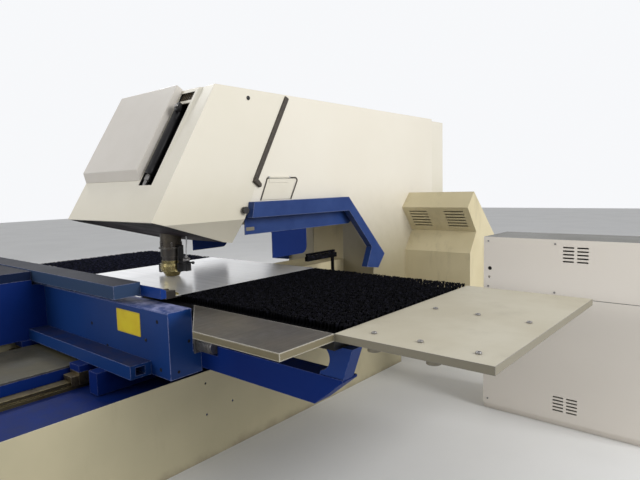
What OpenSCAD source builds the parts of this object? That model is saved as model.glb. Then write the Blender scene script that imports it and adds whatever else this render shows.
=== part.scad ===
// Punch press with a C-shaped frame, one punching head and a coordinate table.
// The origin is on the floor under the punch. X runs to the machine's right,
// Y from the front into the throat, and Z up.

/* [Bed] */
// Half width of the bed over its cladding
bed_half_w = 858; // [820:2:900]
// Front face of the bed, measured from the punch
bed_front = 2100; // [2060:10:2400]
// Height of the bed floor that carries the rails
bed_floor_z = 400; // [380:5:410]
// Top edge of the cladding sheets
cladding_top_z = 527; // [500:1:530]
// Thickness of the cladding sheets
cladding_t = 5; // [3:1:8]
// Right edge of the raised middle of the bed
middle_right_x = 45; // [30:5:80]
// Left edge of the raised middle of the bed
middle_left_x = -620; // [-630:5:-560]
// Height of the raised middle of the bed
middle_h = 103; // [90:1:112]
// Thickness of the cover plate on the middle
middle_cover_t = 12; // [6:1:14]

/* [Y drive] */
// Gap between the raised middle and the right guide rail
rail_gap = 40; // [34:1:60]
// Middle of the left guide rail
left_rail_x = -740; // [-750:1:-734]
// Width of a guide rail
rail_w = 80; // [60:1:84]
// Height of a guide rail
rail_h = 50; // [40:1:54]
// Running gap between sliding faces
run_gap = 0.3; // [0.2:0.05:0.6]
// Diameter of the ball screw
screw_d = 32; // [28:1:36]
// Height of the ball screw over the bed floor
screw_rise = 60; // [54:1:64]

/* [Carriage] */
// Half length of the carriage beam
beam_half_l = 860; // [840:5:880]
// Underside of the carriage beam
beam_bottom_z = 540; // [535:1:550]
// Top of the carriage beam
beam_top_z = 917; // [900:1:925]
// Front face of the carriage beam, before the punch
beam_front = 620; // [600:1:640]
// Rear face of the carriage beam, before the punch
beam_rear = 465; // [455:1:475]
// Depth of the step along the foot of the beam
beam_step = 54; // [40:1:58]
// Height of that step
beam_step_h = 110; // [80:1:120]
// Depth of the hollow bar in front of the beam
bar_depth = 130; // [110:1:140]
// Height of the hollow bar
bar_h = 78; // [60:1:90]
// Right end of the hollow bar
bar_right_x = 670; // [640:5:700]
// Right face of the drive housing
housing_right_x = -700; // [-710:1:-690]
// Left face of the drive housing
housing_left_x = -1300; // [-1400:10:-1200]
// Front face of the drive housing, before the punch
housing_front = 1100; // [1000:10:1150]
// Thickness of the lid on the drive housing
housing_lid_t = 64; // [40:1:70]

/* [Tables] */
// Height at which the sheet lies
sheet_z = 955; // [953:0.5:958]
// Height of the plain table plates
plate_z = 938; // [934:1:940]
// Depth of the folded edges of the plates
plate_edge = 34; // [24:1:40]
// Thickness of table sheet metal
plate_t = 4; // [3:0.5:6]
// Inner edge of a brush table, beside the frame
table_inner_x = 280; // [265:5:300]
// Outer edge of the right brush table
table_right_x = 1890; // [1850:5:1900]
// Outer edge of the left brush table
table_left_x = 1700; // [1660:10:1760]
// Rear edge of the brush tables, behind the punch
table_rear = 865; // [840:5:880]
// Front edge of the brushes, before the punch
brush_front = 375; // [365:1:378]
// Distance between brush rows
brush_pitch = 48; // [36:1:60]
// Thickness of a brush row at its foot
brush_row_t = 20; // [12:1:24]
// Right edge of the extension table
extension_right_x = 2610; // [2500:10:2700]
// Front edge of the steel front plate, before the punch
front_plate_front = 803; // [780:1:820]
// Left end of the front plate's rear edge
front_plate_left_x = 885; // [882:1:900]
// Left end of the front plate's front edge
front_plate_corner_x = 1335; // [1300:5:1400]
// Height of the support frame beams
support_h = 150; // [120:5:160]
// Underside of the support frames
support_z = 560; // [552:2:570]

/* [Sheet rail] */
// Underside of the sheet rail
rail_bar_z = 958; // [957:0.5:962]
// Height of the sheet rail
rail_bar_h = 79; // [70:1:90]
// Front face of the sheet rail, before the punch
rail_bar_front = 702; // [695:1:710]
// Depth of the sheet rail
rail_bar_depth = 172; // [165:1:180]
// Right end of the sheet rail
rail_bar_right_x = 452; // [430:2:480]
// Left end of the sheet rail
rail_bar_left_x = -2250; // [-2400:10:-2150]
// Width of the guide groove under the sheet rail
groove_w = 60; // [50:1:64]
// Height of the guide groove under the sheet rail
groove_h = 35; // [28:1:40]
// Width of a clamp
clamp_w = 90; // [80:1:100]
// Middle of the right clamp
right_clamp_x = 610; // [600:5:625]
// Middle of the left clamp
left_clamp_x = -450; // [-500:10:-400]
// Side length of the sheet metal
sheet_size = 1250; // [1200:5:1300]
// Thickness of the sheet metal
sheet_t = 1.5; // [0.8:0.1:2]
// Left edge of the sheet metal
sheet_left_x = -600; // [-620:5:-590]
// Front edge of the sheet metal, before the punch
sheet_front = 420; // [416:1:424]

/* [C frame] */
// Half width of the frame plates
frame_half_w = 190; // [170:5:210]
// Top of the lower arm
lower_arm_z = 880; // [860:5:900]
// Front of the lower arm, before the punch
lower_arm_front = 130; // [120:2:134]
// Underside of the upper arm
upper_arm_z = 1300; // [1290:2:1310]
// Depth of the throat behind the punch
throat_depth = 1800; // [1700:10:1850]

/* [Hoods] */
// Half width of the hoods
hood_half_w = 540; // [520:5:560]
// Top of the hoods
hood_top_z = 2260; // [2200:10:2320]
// Thickness of hood sheet metal
hood_t = 4; // [3:0.5:6]
// Rear face of the main hood
hood_rear = 2920; // [2860:10:3000]
// Rear face of the narrow rear hood
rear_hood_rear = 3240; // [3150:10:3300]
// Half width of the narrow rear hood
rear_hood_half_w = 500; // [440:5:510]
// Lean of the head's front plane from upright
head_lean = 30.9; // [29:0.1:33]
// Height of the lower front lip of the head
lip_z = 1391; // [1385:1:1397]
// Lower front lip of the head, before the punch
lip_front = 487; // [480:1:495]
// How far the front cover stands proud
cover_proud = 66; // [50:1:80]
// Right edge of the front cover
cover_right_x = 190; // [170:2:200]
// Right edge of the slot beside the front cover
slot_right_x = 360; // [340:2:380]
// Depth of the slanted face beside the slot
slant_depth = 85; // [70:1:95]

/* [Throat arches] */
// How far an arch stands out of the hood
arch_out = 60; // [50:1:70]
// Inside offset of the skirt plates
skirt_inset = 46; // [40:1:50]

/* [Punching head] */
// Diameter of the ram guide
guide_d = 150; // [140:1:160]
// Diameter of the tool holder
holder_d = 158; // [150:1:166]
// Diameter of the punch
punch_d = 30; // [20:1:40]
// Radial clearance of the punch in its guides
punch_fit = 0.1; // [0.05:0.01:0.15]
// Travel of the punch
punch_stroke = 25; // [18:1:28]
// Diameter of the die
die_d = 90; // [80:1:96]

/* [Cabinet and vent] */
// Left edge of the control cabinet
cabinet_left_x = 1835; // [1800:5:1880]
// Right edge of the control cabinet
cabinet_right_x = 2900; // [2800:10:3000]
// Front face of the control cabinet
cabinet_front = 1250; // [1240:5:1300]
// Depth of the control cabinet
cabinet_depth = 420; // [350:10:500]
// Height of the control cabinet
cabinet_h = 1210; // [1150:10:1250]
// Height of the joint between the cabinet panels
cabinet_joint_z = 845; // [800:5:900]
// Right face of the vent housing
vent_right_x = 1230; // [1150:10:1300]
// Thickness of vent and cabinet sheet
vent_t = 4; // [3:0.5:6]

/* [Hidden] */
$fn = 48;

// Height of the raised middle's upper face
middle_top_z = bed_floor_z + middle_h + middle_cover_t;
// Top of the guide rails
rail_top_z = bed_floor_z + rail_h;
// Middle of the right guide rail
right_rail_x = middle_right_x + rail_gap + rail_w / 2;
// The ball screw lies midway between the left rail and the raised middle
screw_x = (left_rail_x + rail_w / 2 + middle_left_x) / 2;
// Height of the ball screw's axis
screw_z = bed_floor_z + screw_rise;
// Rear face of the bed
bed_rear = throat_depth - 50;
// Overshoot of a cutting shape past the face that it cuts
past = 1;

// Unit direction from point p to point q
function dir(p, q) = (q - p) / norm(q - p);
// Direction turned a quarter turn to the left
function left_of(d) = [-d[1], d[0]];
// Corner of a line that runs beside a bent line at distance t, between two sides
function corner_beside(p, d0, d1, t) =
    let(a = left_of(d0), b = left_of(d1)) p + t * (a + b) / (1 + a * b);
// Open line that runs beside path at distance t to its left
function beside(path, t) = let(n = len(path)) [for (i = [0 : n - 1])
    corner_beside(path[i], dir(path[max(i - 1, 0)], path[max(i, 1)]),
        dir(path[min(i, n - 2)], path[min(i + 1, n - 1)]), t)];
// Closed outline drawn t inside an outline that runs counterclockwise
function inside(outline, t) = let(n = len(outline)) [for (i = [0 : n - 1])
    corner_beside(outline[i], dir(outline[(i + n - 1) % n], outline[i]),
        dir(outline[i], outline[(i + 1) % n]), t)];
// List in reverse order
function backwards(list) = [for (i = [len(list) - 1 : -1 : 0]) list[i]];

// Solid between two corners
module block(low, high) translate(low) cube(high - low);
// Flat outline in Y and Z, given a thickness along X
module along_x(x0, x1) translate([x0, 0, 0]) rotate([90, 0, 90])
    linear_extrude(x1 - x0) children();
// Flat outline in X and Z, given a thickness along Y
module along_y(y0, y1) translate([0, y1, 0]) rotate([90, 0, 0])
    linear_extrude(y1 - y0) children();
// Wall of thickness t along a bent line
module folded(path, t) polygon(concat(path, backwards(beside(path, t))));
// Copy on both sides of the machine
module both_sides() { children(); mirror([1, 0, 0]) children(); }
// Rectangle with round corners
module round_rect(w, h, r) union() {
    translate([r, 0]) square([w - 2 * r, h]);
    translate([0, r]) square([w, h - 2 * r]);
    for (x = [r, w - r], y = [r, h - r]) translate([x, y]) circle(r);
}
// Cylinder along X between two places
module rod_x(x0, x1, d) translate([x0, 0, 0]) rotate([0, 90, 0])
    cylinder(d = d, h = x1 - x0);
// Cylinder along Y between two places
module rod_y(y0, y1, d) translate([0, y1, 0]) rotate([90, 0, 0])
    cylinder(d = d, h = y1 - y0);

// Bed: welded floor with a toe recess at the sides
toe_h = 60;
toe_inset = 40;
module bed() color("midnightblue") {
    w = bed_half_w - cladding_t;
    along_y(cladding_t - bed_front, bed_rear) polygon([[-w + toe_inset, 0],
        [w - toe_inset, 0], [w - toe_inset, toe_h], [w, toe_h], [w, bed_floor_z],
        [-w, bed_floor_z], [-w, toe_h], [-w + toe_inset, toe_h]]);
}

// Plugged holes in the side cladding, each as [y, z]
plug_holes = [[-391, 456], [-196, 288], [-391, 268], [-1180, 180]];
plug_d = 14;
module cladding() color("cornsilk") {
    both_sides() difference() {
        block([bed_half_w - cladding_t, -bed_front, 0],
            [bed_half_w, bed_rear, cladding_top_z]);
        for (p = plug_holes) translate([bed_half_w - cladding_t - past, p[0], p[1]])
            rod_x(0, cladding_t + 2 * past, plug_d);
    }
    block([cladding_t - bed_half_w, -bed_front, 0],
        [bed_half_w - cladding_t, cladding_t - bed_front, cladding_top_z]);
}

// Raised middle of the bed, which ends before the frame's lower arm
middle_rear = -lower_arm_front - 10;
module middle_block() color("navy")
    block([middle_left_x, cladding_t - bed_front, bed_floor_z],
        [middle_right_x, middle_rear, bed_floor_z + middle_h]);
module middle_cover() color("cornsilk")
    block([middle_left_x, cladding_t - bed_front, bed_floor_z + middle_h],
        [middle_right_x, middle_rear, middle_top_z]);

// Guide rails with a waist, so that the shoes grip them
rail_front = -1960;
rail_rear = -lower_arm_front - 5;
waist = 8;
module rail_outline(grow) {
    w = rail_w / 2 + grow;
    top = rail_h + grow;
    polygon([[-w, 0], [w, 0], [w, rail_h * 0.4], [w - waist, rail_h * 0.5],
        [w - waist, rail_h * 0.7], [w, rail_h * 0.8], [w, top], [-w, top],
        [-w, rail_h * 0.8], [waist - w, rail_h * 0.7], [waist - w, rail_h * 0.5],
        [-w, rail_h * 0.4]]);
}
module y_rails() color("darkkhaki") for (x = [left_rail_x, right_rail_x])
    translate([x, 0, bed_floor_z]) along_y(rail_front, rail_rear) rail_outline(0);

// Ball screw with its end bearings and motor
bearing_gap = 2;
bearing_w = middle_left_x - left_rail_x - rail_w / 2 - 2 * bearing_gap;
bearing_l = 44;
screw_front = rail_front - 20;
screw_rear = -120;
screw_fit = 0.1;
journal_d = screw_d - 8;
module screw_bearings() color("dimgray")
    for (y = [screw_front, screw_rear - bearing_l]) difference() {
        block([screw_x - bearing_w / 2, y, bed_floor_z],
            [screw_x + bearing_w / 2, y + bearing_l, screw_z + bearing_w / 2]);
        translate([screw_x, 0, screw_z])
            rod_y(y - past, y + bearing_l + past, journal_d + 2 * screw_fit);
    }
module y_screw() color("silver") translate([screw_x, 0, screw_z]) {
    rod_y(screw_front + bearing_l + run_gap, screw_rear - bearing_l - run_gap, screw_d);
    rod_y(screw_front, screw_rear, journal_d);
}
module y_motor() color("black") translate([screw_x, 0, screw_z]) {
    rod_y(cladding_t - bed_front, screw_front - 14, bearing_w);
    rod_y(screw_front - 14, screw_front - run_gap, bearing_w * 0.6);
    block([-30, cladding_t - bed_front + 20, -screw_rise], [30, screw_front - 30, 0]);
}

// C frame: both arms and the column in one weldment
column_rear = 2850;
upper_arm_front = -100;
nose_z = 1750;
module c_frame() color("lightgoldenrodyellow") along_x(-frame_half_w, frame_half_w)
    polygon([[-lower_arm_front, bed_floor_z], [bed_rear + 10, bed_floor_z],
        [bed_rear + 10, 0], [column_rear, 0], [column_rear, hood_top_z - hood_t],
        [300, hood_top_z - hood_t], [upper_arm_front, nose_z],
        [upper_arm_front, upper_arm_z], [throat_depth, upper_arm_z],
        [throat_depth, lower_arm_z], [-lower_arm_front, lower_arm_z]]);

// Head: a leaning front plane through the lip, and the forms that follow it
function on_front(s, out = 0) = [
    -lip_front + s * sin(head_lean) - out * cos(head_lean),
    lip_z + s * cos(head_lean) + out * sin(head_lean)];
module front_frame() translate([0, -lip_front, lip_z]) rotate([-head_lean, 0, 0]) children();
front_length = (hood_top_z - lip_z) / cos(head_lean);
band_low = 243;
band_high = 335;
band_depth = 30;
cover_top = front_length + 10;
joint_top = [700, hood_top_z];
joint_middle = [371, 1630];
joint_low = [305, 1481];
joint_foot = [242, 1367];
belly_rear = [270, 1190];
belly_low = [180, 1205];
head_outline = [on_front(0), belly_low, belly_rear, joint_foot, joint_low,
    joint_middle, joint_top, on_front(front_length), on_front(band_high),
    on_front(band_high, -band_depth), on_front(band_low)];
// The sides of the belly lean inwards by the same amount as it drops
module belly_section(t) polygon([[t - hood_half_w, joint_foot[1]],
    [t + 190 - hood_half_w, joint_foot[1] - 190], [hood_half_w - 190 - t, joint_foot[1] - 190],
    [hood_half_w - t, joint_foot[1]], [hood_half_w - t, hood_top_z + past],
    [t - hood_half_w, hood_top_z + past]]);
module slant_wedge(grow) front_frame() translate([0, 0, band_low - grow])
    linear_extrude(front_length) polygon([[slot_right_x - grow, -past],
        [hood_half_w + past, -past], [hood_half_w - grow / 2, grow],
        [slot_right_x - grow, slant_depth + grow]]);
module head_form(t) difference() {
    intersection() {
        along_x(t - hood_half_w, hood_half_w - t) polygon(inside(head_outline, t));
        along_y(-lip_front - 100, joint_top[0] + 100) belly_section(t);
    }
    slant_wedge(t);
}
slot_low = 250;
slot_high = 950;
module head_hood() color("cornsilk") difference() {
    head_form(0);
    head_form(hood_t);
    translate([0, 60, 0]) head_form(hood_t);
    front_frame() block([cover_right_x + hood_t, -past, slot_low],
        [slot_right_x, slant_depth * 1.5, slot_high]);
    cylinder(d = holder_d + 100, h = upper_arm_z + past);
}
module head_cover() color("cornsilk") front_frame() difference() {
    block([-hood_half_w, -cover_proud, band_high], [cover_right_x, 0, cover_top]);
    block([hood_t - hood_half_w, hood_t - cover_proud, band_high + hood_t],
        [cover_right_x - hood_t, past, cover_top - hood_t]);
}
// Dark liner behind the slot: a channel that stands on the hood's front wall
liner_depth = 150;
module liner_part(low, high, start) translate([0, 0, low]) linear_extrude(high - low)
    folded([[cover_right_x, start], [cover_right_x, liner_depth],
        [slot_right_x + 50, liner_depth], [slot_right_x + 50, 70]], -2);
module head_liner() color("black") front_frame() {
    liner_part(slot_low - 10, slot_high + 10, band_depth + 10);
    liner_part(band_high + hood_t + 1, slot_high + 10, hood_t);
}
// Cylinder that shows in the slot
strut_x = 280;
strut_depth = 70;
strut_d = 74;
strut_low = slot_low + 80;
strut_high = slot_high - 80;
module head_cylinder() color("black") front_frame() translate([strut_x, strut_depth, 0]) {
    translate([0, 0, strut_low]) cylinder(d = strut_d, h = strut_high - strut_low);
    translate([0, 0, strut_high]) cylinder(d = strut_d * 0.72, h = slot_high - 20 - strut_high);
    translate([0, 0, slot_low + 30]) cylinder(d = strut_d * 0.6, h = strut_low - slot_low - 30);
    translate([0, 0, slot_low + 4]) cylinder(d = strut_d * 0.35, h = 26);
    for (z = [strut_low + 70, strut_high - 90])
        block([-20, 0, z], [20, liner_depth - strut_depth - 2, z + 30]);
}
// Rubber strips over the joint line on both sides, with end caps
strip_w = 24;
strip_out = 12;
module hood_joint_strips() color("dimgray") both_sides()
    along_x(hood_half_w, hood_half_w + strip_out) {
        lean = atan2(joint_top[0] - joint_middle[0], joint_top[1] - joint_middle[1]);
        translate(joint_middle) rotate(-lean) translate([-strip_w / 2, 0])
            round_rect(strip_w, norm(joint_top - joint_middle) - 20, 8);
    }

// Main hood: side, top, rear and throat walls of one welded housing
arm_skin_z = 1400;
side_outline = [joint_low, [270, arm_skin_z], [1350, arm_skin_z], [throat_depth - 4, 900],
    [throat_depth - 4, 0], [hood_rear, 0], [hood_rear, hood_top_z], joint_top, joint_middle];
// Access door in the right side, as [y, z] corners
door_low = 1492;
door_high = 1650;
door_lean = (joint_middle[0] - joint_low[0]) / (joint_middle[1] - joint_low[1]);
door_front_y = 400;
door_l = 308;
function door_corners(gap) = [[door_front_y + gap, door_low + gap],
    [door_front_y + door_l - gap, door_low + gap],
    [door_front_y + door_l - gap + (door_high - door_low) * door_lean, door_high - gap],
    [door_front_y + gap + (door_high - door_low) * door_lean, door_high - gap]];
module main_hood() color("cornsilk") difference() {
    union() {
        both_sides() along_x(hood_half_w - hood_t, hood_half_w) polygon(side_outline);
        block([-hood_half_w, joint_top[0], hood_top_z - hood_t],
            [hood_half_w, hood_rear, hood_top_z]);
        block([-hood_half_w, hood_rear - hood_t, 0], [hood_half_w, hood_rear, hood_top_z]);
        both_sides() block([frame_half_w, throat_depth - hood_t, 0],
            [hood_half_w, throat_depth, upper_arm_z + 100]);
    }
    along_x(hood_half_w - hood_t - past, hood_half_w + past) polygon(door_corners(0));
}
module rear_hood() color("cornsilk") difference() {
    block([-rear_hood_half_w, hood_rear, 0], [rear_hood_half_w, rear_hood_rear, hood_top_z - 12]);
    block([hood_t - rear_hood_half_w, hood_rear - past, -past],
        [rear_hood_half_w - hood_t, rear_hood_rear - hood_t, hood_top_z - 12 - hood_t]);
}
// Door hung on a pin along its upper edge
hinge_x = hood_half_w + 7;
hinge_z = door_high + 6;
pin_d = 6;
pin_fit = 0.1;
knuckle_d = 14;
knuckle_front = door_front_y + 90;
knuckle_l = 200;
module access_door() color("cornsilk") difference() {
    union() {
        along_x(hood_half_w - hood_t, hood_half_w) polygon(door_corners(2));
        block([hood_half_w, knuckle_front, hinge_z - 40],
            [hood_half_w + 3, knuckle_front + knuckle_l, hinge_z]);
        translate([hinge_x, 0, hinge_z])
            rod_y(knuckle_front, knuckle_front + knuckle_l, knuckle_d);
    }
    translate([hinge_x, 0, hinge_z])
        rod_y(knuckle_front - past, knuckle_front + knuckle_l + past, pin_d + 2 * pin_fit);
}
module door_pin() color("silver") {
    translate([hinge_x, 0, hinge_z])
        rod_y(knuckle_front - 12, knuckle_front + knuckle_l + 12, pin_d);
    for (y = [knuckle_front - 12, knuckle_front + knuckle_l + 1])
        block([hood_half_w, y, hinge_z - 6], [hinge_x + 6, y + 11, hinge_z + 8]);
}
// Star knob that holds the belly of the head hood
knob_y = 232;
knob_z = 1430;
knob_d = 50;
lobe_count = 6;
module hood_knob() color("black") translate([hood_half_w + run_gap, knob_y, knob_z])
    rotate([0, 90, 0]) union() {
        cylinder(d = knob_d * 0.5, h = 12);
        difference() {
            translate([0, 0, 12]) cylinder(d = knob_d, h = 24);
            for (i = [0 : lobe_count - 1]) rotate(i * 360 / lobe_count)
                translate([knob_d * 0.56, 0, 0]) cylinder(d = knob_d * 0.28, h = 40);
        }
    }

// Arches: flat bands beside the throat, with a skirt plate inside each
arch_outer = [[285, 1485], [1365, 1487], [1895, 945], [1790, 825]];
arch_inner = [[1610, 855], [1690, 1030], [1365, 1372], [262, 1376]];
skirt_low_z = 1252;
skirt_top_z = 1396;
skirt_t = 6;
skirt_front = 276;
skirt_end = [[1480, skirt_low_z], [1540, 1290], [1420, 1430], [1365, skirt_top_z]];
shelf_rear = 1340;
module throat_arches() color("mediumblue") both_sides() {
    along_x(hood_half_w, hood_half_w + arch_out) polygon(backwards(concat(arch_outer, arch_inner)));
    along_x(hood_half_w - skirt_inset, hood_half_w - skirt_inset + skirt_t) polygon(concat(
        [[skirt_front, skirt_low_z]], skirt_end, [[skirt_front, skirt_top_z]]));
    block([hood_half_w - skirt_inset, skirt_front, skirt_top_z - skirt_t],
        [hood_half_w, shelf_rear, skirt_top_z]);
}
panel_rear = 930;
panel_front = 546;
panel_low_z = 1055;
panel_round = 60;
module arm_panels() color("mediumblue") both_sides()
    along_x(hood_half_w - skirt_inset - 5, hood_half_w - skirt_inset) union() {
        translate([panel_front, panel_low_z + panel_round])
            square([panel_rear - panel_front, skirt_low_z + 30 - panel_low_z - panel_round]);
        translate([panel_front, panel_low_z])
            square([panel_rear - panel_front - panel_round, 2 * panel_round]);
        translate([panel_rear - panel_round, panel_low_z + panel_round]) circle(panel_round);
    }
// Fixed brush strip in the throat, on a post from the lower arm
strip_tooth = 22;
strip_teeth = 17;
strip_x = 400;
strip_front = [1010, 1012];
strip_rear = [1384, 1042];
strip_h = 66;
strip_rise = 1.6;
post_y = 1335;
post_t = 20;
module rear_brush() color("black") {
    tooth_foot = strip_front[1] + 38;
    along_x(strip_x, strip_x + 34) polygon(concat([strip_rear, strip_front],
        [for (i = [0 : strip_teeth - 1]) each [
            [strip_front[0] + i * strip_tooth, tooth_foot + i * strip_rise],
            [strip_front[0] + (i + 0.5) * strip_tooth, strip_front[1] + strip_h + i * strip_rise]]],
        [[strip_rear[0], strip_rear[1] + 28]]));
    block([strip_x + 7, post_y, lower_arm_z - 60], [strip_x + 7 + post_t, post_y + 25, strip_rear[1] + 3]);
    block([frame_half_w, post_y, lower_arm_z - 60],
        [strip_x + 7 + post_t, post_y + 25, lower_arm_z - 60 + post_t]);
}

// Ram guide, tool spindle, tool holder, punch and die on the origin's axis
guide_low_z = 1170;
flange_t = 8;
spindle_low_z = 1075;
holder_low_z = sheet_z + sheet_t + 4;
spindle_bore = 64;
module ram_guide() color("gray") difference() {
    union() {
        translate([0, 0, guide_low_z]) cylinder(d = guide_d, h = upper_arm_z - guide_low_z);
        translate([0, 0, guide_low_z - flange_t]) cylinder(d = guide_d + 24, h = flange_t);
        for (a = [30 : 60 : 330]) rotate(a) translate([guide_d / 2 - 2, -4, guide_low_z])
            cube([12, 8, 40]);
    }
    translate([0, 0, guide_low_z - flange_t - past])
        cylinder(d = spindle_bore, h = upper_arm_z - guide_low_z + flange_t + 2 * past);
}
module tool_spindle() color("dimgray") difference() {
    union() {
        translate([0, 0, spindle_low_z + 30])
            cylinder(d = guide_d, h = guide_low_z - flange_t - run_gap - spindle_low_z - 30);
        translate([0, 0, spindle_low_z]) cylinder(d = guide_d - 18, h = 30);
    }
    translate([0, 0, spindle_low_z - past]) cylinder(d = punch_d + 2 * punch_fit, h = 120);
}
module tool_holder() color("goldenrod") difference() {
    union() {
        translate([0, 0, spindle_low_z - 22]) cylinder(d = holder_d - 14, h = 22);
        translate([0, 0, holder_low_z + 38]) cylinder(d = holder_d, h = spindle_low_z - 60 - holder_low_z);
        translate([0, 0, holder_low_z]) cylinder(d1 = holder_d * 0.62, d2 = holder_d * 0.9, h = 38);
        for (a = [0 : 45 : 315]) rotate(a) translate([holder_d / 2 - 6, -9, holder_low_z + 50])
            cube([12, 18, 26]);
    }
    translate([0, 0, holder_low_z - past]) cylinder(d = punch_d + 2 * punch_fit, h = 120 + 2 * past);
}
// The punch rests drawn up, and its stroke ends just over the sheet
punch_low_z = sheet_z + sheet_t + 1 + punch_stroke;
punch_top_z = upper_arm_z - 10;
piston_low_z = guide_low_z + punch_stroke - 3;
piston_h = 48;
module punch() color("silver") {
    translate([0, 0, punch_low_z]) cylinder(d = punch_d, h = punch_top_z - punch_low_z);
    translate([0, 0, piston_low_z]) cylinder(d = spindle_bore - 2, h = piston_h);
}
// Guard blocks beside the tool holder, hung from the ram guide
guard_x = holder_d / 2 + 10;
guard_w = 34;
guard_top_z = spindle_low_z + 6;
strap_x = guard_x + 10;
strap_t = 12;
strap_half_w = 26;
strap_top_z = guide_low_z + 16;
module head_side_blocks() color("black") {
    both_sides() {
        block([guard_x, -guard_w, holder_low_z + 30], [guard_x + guard_w, guard_w, guard_top_z]);
        block([strap_x, -strap_half_w, guard_top_z], [strap_x + strap_t, strap_half_w, strap_top_z]);
        difference() {
            block([guide_d / 2 - 20, -strap_half_w, guide_low_z],
                [strap_x + strap_t, strap_half_w, strap_top_z]);
            cylinder(d = guide_d + 2 * punch_fit, h = upper_arm_z);
        }
    }
    translate([0, -12, holder_low_z + 62]) rod_x(guard_x + guard_w, guard_x + guard_w + 36, 12);
    translate([0, -12, holder_low_z + 62]) rod_x(guard_x + guard_w + 36, guard_x + guard_w + 44, 20);
}
pipe_d = 8;
module oil_pipe() color("whitesmoke") translate([guard_x + guard_w - pipe_d, 0, guard_top_z])
    cylinder(d = pipe_d, h = upper_arm_z - guard_top_z);
module die_holder() color("dimgray") difference() {
    union() {
        translate([0, 0, lower_arm_z]) cylinder(d = 200, h = 50);
        translate([0, 0, lower_arm_z + 50]) cylinder(d1 = 150, d2 = 124, h = sheet_z - 7 - lower_arm_z - 50);
    }
    translate([0, 0, lower_arm_z + 20]) cylinder(d = die_d + 2 * punch_fit, h = 60);
}
module die() color("silver") difference() {
    translate([0, 0, lower_arm_z + 20 + run_gap])
        cylinder(d = die_d, h = sheet_z - 5 - lower_arm_z - 20 - run_gap);
    translate([0, 0, lower_arm_z]) cylinder(d = punch_d + 1, h = 100);
}

// Vent housing with two groups of louvres in its undercut face
vent_side = [[2360, 0], [2930, 0], [2930, 1050], [2443, 1497], [2307, 1355], [2494, 1120],
    [2360, 930]];
louvre_count = 6;
louvre_pitch = 36;
louvre_l = 195;
louvre_margin = 62;
module vent_housing() color("palegoldenrod") difference() {
    face = dir(vent_side[4], vent_side[5]);
    along_x(hood_half_w, vent_right_x) polygon(vent_side);
    along_x(hood_half_w + vent_t, vent_right_x - vent_t)
        polygon(inside(vent_side, vent_t));
    for (x = [hood_half_w + louvre_margin, vent_right_x - louvre_margin - louvre_l],
        i = [0 : louvre_count - 1])
        along_x(x, x + louvre_l) translate(vent_side[4] + face * (45 + i * louvre_pitch))
            rotate(atan2(face[1], face[0])) translate([0, -8]) square([14, 16]);
}

// Control cabinet with two screwed front panels
panel_t = 20;
panel_gap = 3;
vent_w = 66;
vent_slot = 9;
module cabinet() color("gainsboro") difference() {
    block([cabinet_left_x, cabinet_front + panel_t, 0],
        [cabinet_right_x, cabinet_front + cabinet_depth, cabinet_h]);
    block([cabinet_left_x + vent_t, cabinet_front + panel_t - past, vent_t + 60],
        [cabinet_right_x - vent_t, cabinet_front + cabinet_depth - vent_t, cabinet_h - vent_t]);
}
// Slots in a group of two columns, from the corner [x, z]
module vent_group(x, z, rows) for (c = [0, 1], i = [0 : rows - 1])
    along_y(cabinet_front - past, cabinet_front + panel_t + past)
        translate([x + c * (vent_w + 16), z + i * 22]) round_rect(vent_w, vent_slot, 4);
module cabinet_upper_panel() color("gainsboro") difference() {
    block([cabinet_left_x, cabinet_front, cabinet_joint_z + panel_gap],
        [cabinet_right_x, cabinet_front + panel_t, cabinet_h]);
    vent_group(cabinet_left_x + 511, cabinet_h - 140, 5);
    translate([cabinet_left_x + 39, 0, cabinet_joint_z + 91])
        rod_y(cabinet_front - past, cabinet_front + 12, 16);
}
module cabinet_lower_panel() color("gainsboro") difference() {
    block([cabinet_left_x, cabinet_front, 40],
        [cabinet_right_x, cabinet_front + panel_t, cabinet_joint_z]);
    vent_group(cabinet_left_x + 465, 100, 5);
}

// Carriage: beam with a step along its foot, and a hollow bar before it
module carriage_beam() color("navy") along_x(-beam_half_l, beam_half_l)
    polygon([[-beam_front, beam_bottom_z], [beam_step - beam_rear, beam_bottom_z],
        [beam_step - beam_rear, beam_bottom_z + beam_step_h],
        [-beam_rear, beam_bottom_z + beam_step_h + 20], [-beam_rear, beam_top_z],
        [6 - beam_front, beam_top_z], [-beam_front, beam_top_z - 6]]);
bar_wall = 8;
module hollow_bar() color("navy") difference() {
    block([housing_right_x, -beam_front - bar_depth, beam_bottom_z],
        [bar_right_x, -beam_front, beam_bottom_z + bar_h]);
    block([bar_right_x - 300, bar_wall * 4 - beam_front - bar_depth, beam_bottom_z + bar_wall * 2],
        [bar_right_x + past, -beam_front - bar_wall * 5, beam_bottom_z + bar_h - bar_wall * 2]);
}
// Shoes that wrap the guide rails, front and rear pairs
shoe_l = 130;
shoe_side = 20;
shoe_top = 50;
shoe_front_y = -812;
shoe_rear_y = -560;
module shoe(x, y) translate([x, 0, bed_floor_z]) along_y(y, y + shoe_l) difference() {
    translate([-rail_w / 2 - shoe_side, rail_h * 0.45])
        square([rail_w + 2 * shoe_side, rail_h * 0.55 + shoe_top]);
    rail_outline(run_gap);
}
// Wiper block before a front shoe
wiper_l = 46;
wiper_side = 12;
wiper_top = 30;
module wiper(x) translate([x, 0, bed_floor_z])
    along_y(shoe_front_y - wiper_l, shoe_front_y) difference() {
        translate([-rail_w / 2 - wiper_side, rail_h * 0.45])
            square([rail_w + 2 * wiper_side, rail_h * 0.55 + wiper_top]);
        rail_outline(run_gap);
    }
module guide_shoes() color("saddlebrown") for (x = [left_rail_x, right_rail_x]) {
    wiper(x);
    for (y = [shoe_front_y, shoe_rear_y]) shoe(x, y);
}
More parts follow.
